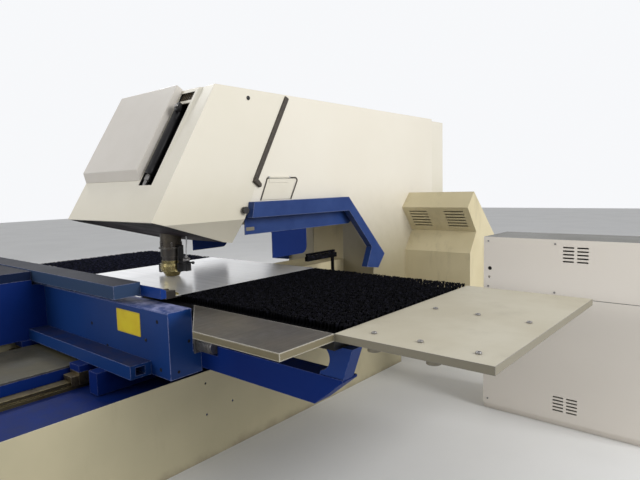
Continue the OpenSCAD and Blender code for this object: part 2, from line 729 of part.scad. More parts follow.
// Shoe brackets, and a deep side plate under the right end of the bar
side_plate_x = 310;
side_plate_w = 95;
module shoe_brackets() color("navy") {
    w = rail_w / 2 + shoe_side;
    for (x = [left_rail_x, right_rail_x], y = [shoe_front_y, shoe_rear_y])
        block([x - w, y, rail_top_z + shoe_top], [x + w, y + shoe_l, beam_bottom_z]);
    block([side_plate_x, shoe_front_y, bed_floor_z + 6],
        [side_plate_x + side_plate_w, shoe_rear_y + shoe_l, beam_bottom_z]);
}
// The nut hangs under the beam and the bar, between the shoes
nut_d = screw_d + 26;
nut_gap = 10;
nut_y = shoe_rear_y - nut_gap;
nut_l = shoe_rear_y - shoe_front_y - shoe_l - 2 * nut_gap;
nut_block_w = 50;
module screw_nut() color("saddlebrown") difference() {
    union() {
        translate([screw_x, 0, screw_z]) rod_y(nut_y - nut_l, nut_y, nut_d);
        block([screw_x - nut_block_w / 2, nut_y - nut_l + 20, screw_z],
            [screw_x + nut_block_w / 2, nut_y - 10, beam_bottom_z]);
    }
    translate([screw_x, 0, screw_z])
        rod_y(nut_y - nut_l - past, nut_y + past, screw_d + 2 * screw_fit);
}
module bare_plate() color("gold") along_y(-beam_front - 2, -beam_front)
    translate([320, 740]) round_rect(260, 140, 6);

// Table support frames under both tables
arm_w = 110;
arm_rear_y = 500;
girder_w = 100;
support_tip = 170;
tip_h = 12;
module support_arm(x1, y) along_y(y, y + arm_w) polygon([[table_inner_x + 20, support_z],
    [x1 - support_tip, support_z], [x1, support_z + support_h - tip_h],
    [x1, support_z + support_h], [table_inner_x + 20, support_z + support_h]]);
module support_frame(x1) {
    support_arm(x1, beam_step - beam_rear);
    support_arm(x1, arm_rear_y);
    block([table_inner_x + 20, beam_step - beam_rear, support_z],
        [table_inner_x + 20 + girder_w, arm_rear_y + arm_w + 100, support_z + support_h]);
}
// The right front arm has a pocket for the beam's motor
pocket_gap = 8;
module support_frames() color("navy") {
    difference() {
        support_frame(table_right_x);
        block([beam_half_l - pocket_gap, beam_step - beam_rear - past,
            beam_motor_z - beam_motor_r - pocket_gap], [beam_half_l + beam_motor_l + pocket_gap,
            beam_motor_y + beam_motor_r + pocket_gap, support_z + support_h + past]);
    }
    mirror([1, 0, 0]) support_frame(table_left_x);
}
tray_h = 46;
tray_top_z = 906;
bracket_w = 140;
bracket_lean = 55;
module table_bracket(x, y) along_y(y, y + arm_w * 0.7) translate([x, support_z + support_h])
    round_bracket(tray_top_z - plate_t - support_z - support_h, 0);
// Bracket with a round throat, which may lean outwards over its height
module round_bracket(h, lean) difference() {
    polygon([[0, 0], [bracket_w, 0], [bracket_w + lean, h], [lean, h]]);
    translate([0, h * 0.55]) circle(h * 0.42);
}
module table_brackets() color("mediumblue") for (y = [beam_step - beam_rear + 5, arm_rear_y + 5]) {
    table_bracket(table_inner_x + 30, y);
    along_y(y, y + arm_w * 0.7) translate([table_right_x - bracket_w, support_z + support_h])
        round_bracket(tray_top_z - tray_h - support_z - support_h, bracket_lean);
    mirror([1, 0, 0]) for (x = [table_inner_x + 30, table_left_x - bracket_w - 5]) table_bracket(x, y);
}
tray_front = -beam_rear + 2;
// Tray that holds the brush rows, open below
module table_tray(x1) difference() {
    block([table_inner_x, tray_front, tray_top_z - tray_h], [x1, table_rear, tray_top_z]);
    block([table_inner_x + plate_t, tray_front + plate_t, tray_top_z - tray_h - past],
        [x1 - plate_t, table_rear - plate_t, tray_top_z - plate_t]);
}
module table_trays() color("black") {
    table_tray(table_right_x);
    mirror([1, 0, 0]) table_tray(table_left_x);
}
// Brush rows: a foot strip with a comb of tufts, each tuft a tapered tooth
tuft_pitch = 44;
module brush_comb(length) {
    n = floor(length / tuft_pitch);
    w = length / n;
    foot = 14;
    polygon(concat([[0, 0], [length, 0], [length, foot]],
        [for (i = [n - 1 : -1 : 0]) each [[(i + 0.78) * w, sheet_z - tray_top_z],
            [(i + 0.22) * w, sheet_z - tray_top_z], [i * w, foot]]]));
}
module brush_field(x1) {
    rows = floor((table_rear + brush_front) / brush_pitch);
    for (i = [0 : rows - 1]) translate([table_inner_x, 0, tray_top_z])
        along_y(-brush_front + i * brush_pitch, -brush_front + i * brush_pitch + brush_row_t)
            brush_comb(x1 - table_inner_x);
    block([table_inner_x, -brush_front, tray_top_z], [x1, table_rear, tray_top_z + 3]);
}
module brush_right() color("black") brush_field(table_right_x);
module brush_left() color("black") mirror([1, 0, 0]) brush_field(table_left_x);

// Folded plates with an edge all round, open below
module folded_plate(outline) difference() {
    translate([0, 0, plate_z - plate_edge]) linear_extrude(plate_edge) polygon(outline);
    translate([0, 0, plate_z - plate_edge - past]) linear_extrude(plate_edge - plate_t + past)
        polygon(inside(outline, plate_t));
}
module front_plate() color("slategray")
    folded_plate([[front_plate_corner_x, -front_plate_front], [table_right_x, -front_plate_front],
        [table_right_x, tray_front], [front_plate_left_x, tray_front]]);
pad_d = 60;
pad_h = 56;
module extension_table() color("antiquewhite") {
    folded_plate([[table_right_x, tray_front], [extension_right_x, tray_front],
        [extension_right_x, table_rear], [table_right_x, table_rear]]);
    for (x = [170, 450]) translate([table_right_x + x, tray_front + 60, plate_z - plate_t - pad_h])
        cylinder(d = pad_d, h = pad_h);
}

// Rack under the sheet rail and the pinion that drives it, with involute teeth
tooth_module = 5;
pinion_teeth = 18;
pressure = 20;
tooth_play = 0.3;
pinion_x = -880;
pitch_r = tooth_module * pinion_teeth / 2;
base_r = pitch_r * cos(pressure);
root_r = pitch_r - 1.25 * tooth_module;
rack_pitch = PI * tooth_module;
rack_teeth = 92;
rack_h = 22;
rack_y = -beam_front - 52;
pinion_y = rack_y - pitch_r - tooth_play;
// Angle by which an involute leans back once its string has turned by t degrees
function lean_back(t) = t - atan(t * PI / 180);
base_half = 90 / pinion_teeth + tan(pressure) * 180 / PI - pressure;
tip_turn = sqrt(pow((pitch_r + tooth_module) / base_r, 2) - 1) * 180 / PI;
flank_steps = 4;
function polar(r, a) = [r * cos(a), r * sin(a)];
function flank_point(i, side, a) = let(t = tip_turn * i / flank_steps)
    polar(base_r * sqrt(1 + pow(t * PI / 180, 2)), a + side * (base_half - lean_back(t)));
function gear_tooth(a) = concat([polar(root_r, a - base_half)],
    [for (i = [0 : flank_steps]) flank_point(i, -1, a)],
    [for (i = [flank_steps : -1 : 0]) flank_point(i, 1, a)], [polar(root_r, a + base_half)]);
module gear() polygon([for (k = [0 : pinion_teeth - 1]) each gear_tooth(90 + k * 360 / pinion_teeth)]);
module rack() {
    add = tooth_module;
    ded = 1.25 * tooth_module;
    tip = rack_pitch / 4 - add * tan(pressure);
    foot = rack_pitch / 4 + ded * tan(pressure);
    x0 = pinion_x - rack_teeth * rack_pitch / 2;
    polygon(concat([for (k = [0 : rack_teeth - 1]) let(x = x0 + (k + 0.5) * rack_pitch)
        each [[x - foot, rack_y + ded], [x - tip, rack_y - add], [x + tip, rack_y - add],
            [x + foot, rack_y + ded]]],
        [[x0 + rack_teeth * rack_pitch, rack_y + 40], [x0, rack_y + 40]]));
}
shaft_d = 22;
shaft_fit = 0.1;
shaft_l = 100;
// The pinion turns just under the sheet rail
pinion_top_z = rail_bar_z - 2;
pinion_h = 18;
module x_pinion() color("silver") translate([pinion_x, pinion_y, 0]) {
    translate([0, 0, pinion_top_z - pinion_h]) linear_extrude(pinion_h) gear();
    translate([0, 0, pinion_top_z - shaft_l]) cylinder(d = shaft_d, h = shaft_l - pinion_h);
}

// Housing of the X drive at the left end of the beam, with a low shelf under the rail
lid_top_z = 1030;
housing_wall = 8;
housing_rear = -rail_bar_front - 4;
shelf_z = rail_bar_z - rack_h - 6;
housing_side = [[-housing_front, beam_bottom_z], [-beam_front, beam_bottom_z],
    [-beam_front, shelf_z], [housing_rear, shelf_z], [housing_rear, lid_top_z - housing_lid_t],
    [-housing_front, lid_top_z - housing_lid_t]];
motor_r = 50;
x_motor_h = 220;
module drive_housing() color("navy") difference() {
    along_x(housing_left_x, housing_right_x) polygon(housing_side);
    along_x(housing_left_x + housing_wall, housing_right_x - housing_wall)
        polygon(inside(housing_side, housing_wall));
    translate([pinion_x, pinion_y, shelf_z - housing_wall - past]) cylinder(d = shaft_d + 4, h = 20);
    block([pinion_x - pitch_r - 12, housing_rear - housing_wall - past, shelf_z],
        [pinion_x + pitch_r + 12, housing_rear + past, lid_top_z - housing_lid_t - housing_wall]);
}
module housing_lid() color("slategray") difference() {
    block([housing_left_x, -housing_front, lid_top_z - housing_lid_t],
        [housing_right_x, housing_rear, lid_top_z]);
    block([housing_left_x + housing_wall, housing_wall - housing_front, lid_top_z - housing_lid_t - past],
        [housing_right_x - housing_wall, housing_rear - housing_wall, lid_top_z - housing_wall]);
}
module x_motor() color("black") translate([pinion_x, pinion_y, 0]) difference() {
    union() {
        translate([0, 0, shelf_z - housing_wall - x_motor_h]) cylinder(r = motor_r, h = x_motor_h - 12);
        translate([-motor_r, -motor_r, shelf_z - housing_wall - 12]) cube([2 * motor_r, 2 * motor_r, 12]);
    }
    translate([0, 0, pinion_top_z - shaft_l - 4]) cylinder(d = shaft_d + 2 * shaft_fit, h = shaft_l);
}
// Shoes on the beam that run in the groove of the sheet rail
groove_y = -beam_front + 50;
x_shoe_l = 120;
x_shoe_pitch = 260;
module x_shoes() color("silver") for (i = [0 : 2]) {
    x = 40 - beam_half_l + i * x_shoe_pitch;
    block([x - x_shoe_l / 2, groove_y - groove_w / 2 + run_gap, beam_top_z],
        [x + x_shoe_l / 2, groove_y + groove_w / 2 - run_gap, rail_bar_z + groove_h - run_gap]);
    block([x - x_shoe_l / 2, groove_y - groove_w / 2 - 12, beam_top_z],
        [x + x_shoe_l / 2, groove_y + groove_w / 2 + 12, rail_bar_z - 10]);
}
// Ribbed motor beyond the right end of the beam, on a bracket behind the beam
beam_motor_r = 44;
beam_motor_l = 140;
beam_motor_y = beam_motor_r + 6 - beam_rear;
beam_motor_z = support_z + support_h - 6;
motor_flange_t = 12;
motor_rib_pitch = 12;
module beam_motor() color("silver") {
    w = beam_motor_r + 4;
    block([beam_half_l - 70, -beam_rear, support_z + support_h + 2],
        [beam_half_l, beam_motor_y + w, beam_motor_z + w]);
    block([beam_half_l, beam_motor_y - w, beam_motor_z - w],
        [beam_half_l + motor_flange_t, beam_motor_y + w, beam_motor_z + w]);
    translate([beam_half_l, beam_motor_y, beam_motor_z]) {
        rod_x(motor_flange_t, beam_motor_l, 1.7 * beam_motor_r);
        for (i = [0 : 8]) translate([motor_flange_t + 8 + i * motor_rib_pitch, 0, 0])
            rod_x(0, motor_rib_pitch / 2, 2 * beam_motor_r);
    }
}

// Sheet rail with its groove, clamps, tool cassettes and the sheet itself
rail_bar_rear = rail_bar_depth - rail_bar_front;
module sheet_rail() color("slategray") {
    difference() {
        block([rail_bar_left_x, -rail_bar_front, rail_bar_z],
            [rail_bar_right_x, rail_bar_rear, rail_bar_z + rail_bar_h]);
        block([rail_bar_left_x - past, groove_y - groove_w / 2, rail_bar_z - past],
            [rail_bar_right_x - 20, groove_y + groove_w / 2, rail_bar_z + groove_h]);
    }
    translate([0, 0, rail_bar_z - rack_h]) linear_extrude(rack_h) rack();
}
clamp_rail_depth = 36;
clamp_rail_right_x = right_clamp_x + clamp_w / 2 + 10;
module clamp_rail() color("mediumblue")
    along_x(left_clamp_x - 300, clamp_rail_right_x) polygon([[rail_bar_rear, rail_bar_z - 3],
        [rail_bar_rear + clamp_rail_depth, rail_bar_z - 3],
        [rail_bar_rear + clamp_rail_depth, rail_bar_z + 44], [rail_bar_rear, rail_bar_z + 62]]);
clamp_rear = rail_bar_rear + clamp_rail_depth;
jaw_w = 40;
jaw_gap = 0.5;
pivot_y = clamp_rear + 34;
pivot_z = sheet_z + 24;
pivot_d = 12;
pivot_fit = 0.1;
// Clamp body: a fork with a thin lower jaw that reaches under the sheet
module clamp_body(x) translate([x, 0, 0]) {
    difference() {
        along_x(-clamp_w / 2, clamp_w / 2) polygon([[clamp_rear, sheet_z - 8],
            [35 - sheet_front, sheet_z - 8], [35 - sheet_front, sheet_z],
            [-sheet_front - 4, sheet_z], [-sheet_front - 4, pivot_z + 12],
            [clamp_rear, pivot_z + 16]]);
        block([-jaw_w / 2 - jaw_gap, clamp_rear + 8, sheet_z],
            [jaw_w / 2 + jaw_gap, past - sheet_front, pivot_z + 20]);
    }
    translate([0, pivot_y, pivot_z]) rod_x(-clamp_w / 2, clamp_w / 2, pivot_d);
}
module clamp_bodies() color("dimgray")
    for (x = [left_clamp_x, right_clamp_x]) clamp_body(x);
module clamp_jaw(x) translate([x, 0, 0]) difference() {
    low = sheet_z + sheet_t + run_gap;
    along_x(-jaw_w / 2, jaw_w / 2) union() {
        polygon([[pivot_y - 16, pivot_z - 9], [pivot_y + 6, pivot_z - 12],
            [4 - sheet_front, low], [34 - sheet_front, low], [34 - sheet_front, low + 10],
            [pivot_y + 8, pivot_z + 12], [pivot_y - 16, pivot_z + 9]]);
        translate([pivot_y, pivot_z]) circle(12);
    }
    translate([0, pivot_y, pivot_z])
        rod_x(-jaw_w / 2 - past, jaw_w / 2 + past, pivot_d + 2 * pivot_fit);
}
module clamp_jaw_right() color("goldenrod") clamp_jaw(right_clamp_x);
module clamp_jaw_left() color("goldenrod") clamp_jaw(left_clamp_x);
cassette_count = 4;
cassette_pitch = 260;
cassette_w = 140;
cassette_depth = 110;
cassette_h = 46;
cassette_bore = 62;
cassette_mouth = 44;
module tool_cassettes() color("dimgray") for (i = [0 : cassette_count - 1])
    translate([left_clamp_x - 560 - i * cassette_pitch, rail_bar_rear, rail_bar_z]) difference() {
        block([-cassette_w / 2, 0, 0], [cassette_w / 2, cassette_depth, cassette_h]);
        translate([0, cassette_bore + 2, -past]) cylinder(d = cassette_bore, h = cassette_h + 2 * past);
        block([-cassette_mouth / 2, cassette_bore + 2, -past],
            [cassette_mouth / 2, cassette_depth + past, cassette_h + past]);
    }
module sheet_metal() color("whitesmoke") block([sheet_left_x, -sheet_front, sheet_z],
    [sheet_left_x + sheet_size, sheet_size - sheet_front, sheet_z + sheet_t]);
bed();
cladding();
middle_block();
middle_cover();
y_rails();
screw_bearings();
y_motor();
y_screw();
c_frame();
head_hood();
head_cover();
head_liner();
head_cylinder();
hood_joint_strips();
main_hood();
rear_hood();
door_pin();
access_door();
hood_knob();
throat_arches();
arm_panels();
rear_brush();
ram_guide();
head_side_blocks();
oil_pipe();
tool_spindle();
tool_holder();
punch();
die_holder();
die();
vent_housing();
cabinet();
cabinet_upper_panel();
cabinet_lower_panel();
carriage_beam();
hollow_bar();
guide_shoes();
shoe_brackets();
screw_nut();
bare_plate();
support_frames();
table_brackets();
front_plate();
table_trays();
brush_right();
brush_left();
extension_table();
drive_housing();
housing_lid();
x_shoes();
beam_motor();
x_motor();
x_pinion();
sheet_rail();
clamp_rail();
clamp_bodies();
clamp_jaw_right();
clamp_jaw_left();
tool_cassettes();
sheet_metal();
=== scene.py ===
import math
import bmesh
import bpy
import numpy as np
from mathutils import Matrix


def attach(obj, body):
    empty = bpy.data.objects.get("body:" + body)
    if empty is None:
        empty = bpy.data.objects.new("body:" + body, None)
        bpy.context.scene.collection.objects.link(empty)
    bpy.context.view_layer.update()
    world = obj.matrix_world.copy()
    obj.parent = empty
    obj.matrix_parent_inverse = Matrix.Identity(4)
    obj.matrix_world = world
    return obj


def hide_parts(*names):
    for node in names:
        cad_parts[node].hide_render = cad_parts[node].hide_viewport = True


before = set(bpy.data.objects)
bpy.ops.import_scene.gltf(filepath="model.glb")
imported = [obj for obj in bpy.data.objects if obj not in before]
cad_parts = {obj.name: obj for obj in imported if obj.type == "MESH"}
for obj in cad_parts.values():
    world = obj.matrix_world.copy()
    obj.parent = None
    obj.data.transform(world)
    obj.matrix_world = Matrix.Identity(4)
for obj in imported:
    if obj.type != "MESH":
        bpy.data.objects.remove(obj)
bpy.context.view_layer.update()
print("frame loaded")


def linked(name, data):
    # A new object in the scene that shows this camera, lamp or mesh
    made = bpy.data.objects.new(name, data)
    bpy.context.collection.objects.link(made)
    return made


def standing(axes, place):
    # Matrix with the three axes as its columns and the place as its last one
    return Matrix([[axis[i] for axis in axes] + [place[i]] for i in range(3)] + [[0, 0, 0, 1]])


# View and light

view = {
    "place": (3.312, -2.210, 1.5775),
    "right": (0.76247, 0.64650, -0.02591),
    "up": (-0.04521, 0.09318, 0.99462),
    "back": (0.64544, -0.75720, 0.10027),
    "lens": 29.71, "sensor": 36, "farthest": 60,
}
camera = linked("camera", bpy.data.cameras.new("camera"))
camera.data.lens = view["lens"]
camera.data.sensor_width = view["sensor"]
camera.data.clip_end = view["farthest"]
camera.matrix_world = standing([view["right"], view["up"], view["back"]], view["place"])
bpy.context.scene.camera = camera
bpy.context.scene.view_settings.view_transform = "Standard"

lamps = {
    "overhead": {"place": (-4.9, 0.9, 6.8), "aim": (0.0, 0.0, 1.9), "size": 1.3, "watts": 190},
    "rightWindow": {"place": (8.0, 1.0, 4.0), "aim": (0.3, 0.6, 1.2), "size": 3.5, "watts": 390},
    "front": {"place": (-3.0, -8.0, 3.5), "aim": (0.2, 0.0, 1.0), "size": 3.5, "watts": 200},
}


def aimed(place, aim):
    # Lamp matrix: its -Z axis points from place to aim
    back = np.array(place, float) - np.array(aim, float)
    back /= np.linalg.norm(back)
    side = np.cross((0, 0, 1), back)
    side /= np.linalg.norm(side)
    return standing([side, np.cross(back, side), back], place)


for lampName, lamp in lamps.items():
    light = bpy.data.lights.new(lampName, "AREA")
    light.size = lamp["size"]
    light.energy = lamp["watts"]
    linked(lampName, light).matrix_world = aimed(lamp["place"], lamp["aim"])


# Finishes


class Tone:
    # One output socket; sums on it add Math nodes
    def __init__(self, nodes, socket):
        self.nodes = nodes
        self.socket = socket

    def math(self, operation, *values):
        return self.nodes.node("ShaderNodeMath", {"operation": operation}, dict(enumerate(values)))

    def __add__(self, other):
        return self.math("ADD", self, other)

    def __radd__(self, other):
        return self.math("ADD", other, self)

    def __sub__(self, other):
        return self.math("SUBTRACT", self, other)

    def __rsub__(self, other):
        return self.math("SUBTRACT", other, self)

    def __mul__(self, other):
        return self.math("MULTIPLY", self, other)

    def __rmul__(self, other):
        return self.math("MULTIPLY", other, self)


class Nodes:
    # One node tree, of a material or of the world
    def __init__(self, tree):
        self.tree = tree

    # Any node: settings go in first, then the values or links of its sockets
    def node(self, kind, settings=None, values=None, out=0):
        made = self.tree.nodes.new(kind)
        for key, value in (settings or {}).items():
            setattr(made, key, value)
        for key, value in (values or {}).items():
            self.feed(made.inputs[key], value)
        return Tone(self, made.outputs[out]) if made.outputs else None

    def feed(self, socket, value):
        if isinstance(value, Tone):
            self.tree.links.new(value.socket, socket)
        elif socket.type == "RGBA":
            socket.default_value = (*value, 1)
        else:
            socket.default_value = value


socketNames = {
    "colour": "Base Color", "metal": "Metallic", "rough": "Roughness", "normal": "Normal",
    "coat": "Coat Weight", "coatRough": "Coat Roughness", "specular": "Specular IOR Level",
}


class Finish(Nodes):
    # A material with its shader, and the patterns that the finishes share
    def __init__(self, name):
        self.material = bpy.data.materials.new(name)
        self.material.use_nodes = True
        super().__init__(self.material.node_tree)
        self.shader = self.tree.nodes["Principled BSDF"]

    def shade(self, **values):
        for key, value in values.items():
            self.feed(self.shader.inputs[socketNames[key]], value)

    def noise(self, scale, detail=3.0, rough=0.55, stretch=(1, 1, 1)):
        spot = self.node("ShaderNodeTexCoord", out="Object")
        spot = self.node("ShaderNodeMapping", {}, {"Vector": spot, "Scale": stretch})
        return self.node("ShaderNodeTexNoise", {}, {
            "Vector": spot, "Scale": scale, "Detail": detail, "Roughness": rough})

    # 0 below low, 1 above high, a smooth step between
    def step(self, value, low, high):
        return self.node("ShaderNodeMapRange", {"interpolation_type": "SMOOTHSTEP"},
                         {0: value, 1: low, 2: high, 3: 0.0, 4: 1.0})

    def blend(self, mask, first, second):
        return self.node("ShaderNodeMix", {"data_type": "RGBA"}, {0: mask, 6: first, 7: second}, out=2)

    # Normal with its edges rounded by width
    def rounded(self, width):
        return self.node("ShaderNodeBevel", {"samples": 4}, {"Radius": width})

    # 1 where the rounded normal leans away from the flat one, which is along edges
    def edge(self, width):
        flat = self.node("ShaderNodeNewGeometry", out="Normal")
        near = self.node("ShaderNodeVectorMath", {"operation": "DOT_PRODUCT"},
                         {0: self.rounded(width), 1: flat}, out="Value")
        return self.step(near, 0.985, 0.87)

    # The Z part of the surface's direction, or of its place on the object
    def rise(self, source):
        spot = self.node("ShaderNodeTexCoord", out=source)
        return self.node("ShaderNodeSeparateXYZ", {}, {0: spot}, out="Z")

    # Its own colour on upright faces, and the colour so far on level ones
    def sided(self, side, colour):
        return self.blend(self.step(self.rise("Normal"), 0.35, 0.75), side, colour)

    def bump(self, height, strength, distance, normal=None):
        values = {"Strength": strength, "Distance": distance, "Height": height}
        if normal is not None:
            values["Normal"] = normal
        return self.node("ShaderNodeBump", {}, values)


def painted(name, look):
    # Paint: two near colours in broad patches, stains, a darker colour towards the bottom, dust on level
    # faces, another colour on upright ones, scratches, rubbed edges, and an orange-peel bump over
    # rounded edges
    f = Finish(name)
    broad = f.step(f.noise(look.get("patchScale", 1.4), 4), 0.3, 0.72)
    peel = f.noise(look.get("peel", 240), 2)
    colour = f.blend(broad, look["colour"], look["patch"])
    if "stain" in look:
        runs = f.step(f.noise(5, 5, 0.7, (1, 1, 0.25)), 0.52, 0.78)
        colour = f.blend(runs * look.get("stainAmount", 0.35), colour, look["stain"])
    if "low" in look:
        # Darker towards the bottom, from lowTop down to lowEnd
        lowDarkening = f.step(f.rise("Object") + 0.12 * f.noise(9, 4), look["lowTop"], look.get("lowEnd", 0.0))
        colour = f.blend(lowDarkening * look.get("lowAmount", 0.85), colour, look["low"])
    if "dust" in look:
        settled = f.step(f.rise("Normal"), 0.5, 0.95) * f.step(f.noise(11, 6, 0.72), 0.34, 0.66)
        colour = f.blend(settled * look.get("dustAmount", 0.5), colour, look["dust"])
    if "side" in look:
        colour = f.sided(look["side"], colour)
    if "scratch" in look:
        marks = f.step(f.noise(14, 8, 0.8, (1, 7, 7)), 0.655, 0.70)
        colour = f.blend(marks * look.get("scratchAmount", 0.6), colour, look["scratch"])
    start = look.get("edgeFrom", 0.42)
    rubbed = f.edge(look["edgeWidth"]) * f.step(f.noise(30, 5, 0.7), start, start + 0.14)
    colour = f.blend(rubbed * look.get("edgeAmount", 0.8), colour, look["edge"])
    rough = look["rough"] + 0.16 * (peel - 0.5) + 0.1 * broad
    bump = f.bump(peel, look.get("bump", 0.08), 0.0006, f.rounded(0.0025))
    f.shade(colour=colour, rough=rough, normal=bump, metal=0.0, specular=look.get("specular", 0.45))
    if "coat" in look:
        f.shade(coat=look["coat"], coatRough=0.12)
    return f.material


def steel(name, look):
    # Steel: grain stretched one way, cloudy oil patches, rust, another colour on upright faces, and
    # pale edges painted on as glints
    f = Finish(name)
    cloud = f.step(f.noise(look.get("cloud", 4), 5, 0.65), 0.3, 0.7)
    grain = f.noise(60, 3, 0.6, look.get("along", (0.05, 1, 1)))
    colour = f.blend(cloud, look["colour"], look["patch"])
    if "rust" in look:
        rust = f.step(f.noise(look.get("rustScale", 22), 6, 0.75), 0.52, 0.68)
        colour = f.blend(rust * look.get("rustAmount", 0.5), colour, look["rust"])
    if "side" in look:
        colour = f.sided(look["side"], colour)
    glint = f.edge(look.get("edgeWidth", 0.003)) * 0.7
    colour = f.blend(glint, colour, look.get("edge", (0.72, 0.71, 0.70)))
    rough = look["rough"] + 0.18 * (cloud - 0.5) + 0.22 * (grain - 0.5)
    bump = f.bump(grain, 0.12, 0.0004, f.rounded(0.0015))
    f.shade(colour=colour, metal=look.get("metal", 0.9), rough=rough, normal=bump)
    return f.material


def sheetFinish(look):
    # Rolled sheet: half a mirror, with long pale streaks along the roll and a faint wave; its near-white
    # colour is partly a painted reflection of the bright window
    f = Finish("sheetFinish")
    streak = f.noise(26, 4, 0.6, (0.06, 1, 1))
    wave = f.noise(1.1, 2)
    colour = f.blend(f.step(streak, 0.35, 0.7), look["colour"], look["streak"])
    f.shade(colour=colour, metal=look["metal"], rough=look["rough"] + 0.14 * (streak - 0.5),
            normal=f.bump(wave, 0.35, 0.012))
    return f.material


def fibreFinish(name, look):
    # Bristles: near black, the frayed tips a little paler as a painted highlight, each tuft by its own
    # amount
    f = Finish(name)
    tip = f.step(f.rise("Object"), look["tipFrom"], look["tipTo"])
    each = f.step(f.noise(38, 2), 0.45, 0.7)
    colour = f.blend(tip * each * 0.75, look["colour"], look["tip"])
    f.shade(colour=colour, rough=0.7 + 0.2 * (each - 0.5), specular=0.05,
            normal=f.bump(f.noise(900, 2, 0.5, (1, 1, 0.05)), 0.5, 0.0008))
    return f.material


def rubberFinish(name, look):
    # Rubber or plastic: dull, faintly mottled, pale where it is rubbed
    f = Finish(name)
    mottle = f.noise(45, 4, 0.6)
    colour = f.blend(f.step(mottle, 0.35, 0.7), look["colour"], look["patch"])
    colour = f.blend(f.edge(0.003) * 0.5, colour, look["edge"])
    f.shade(colour=colour, rough=look["rough"] + 0.2 * (mottle - 0.5),
            normal=f.bump(mottle, 0.25, 0.0005, f.rounded(0.002)))
    return f.material


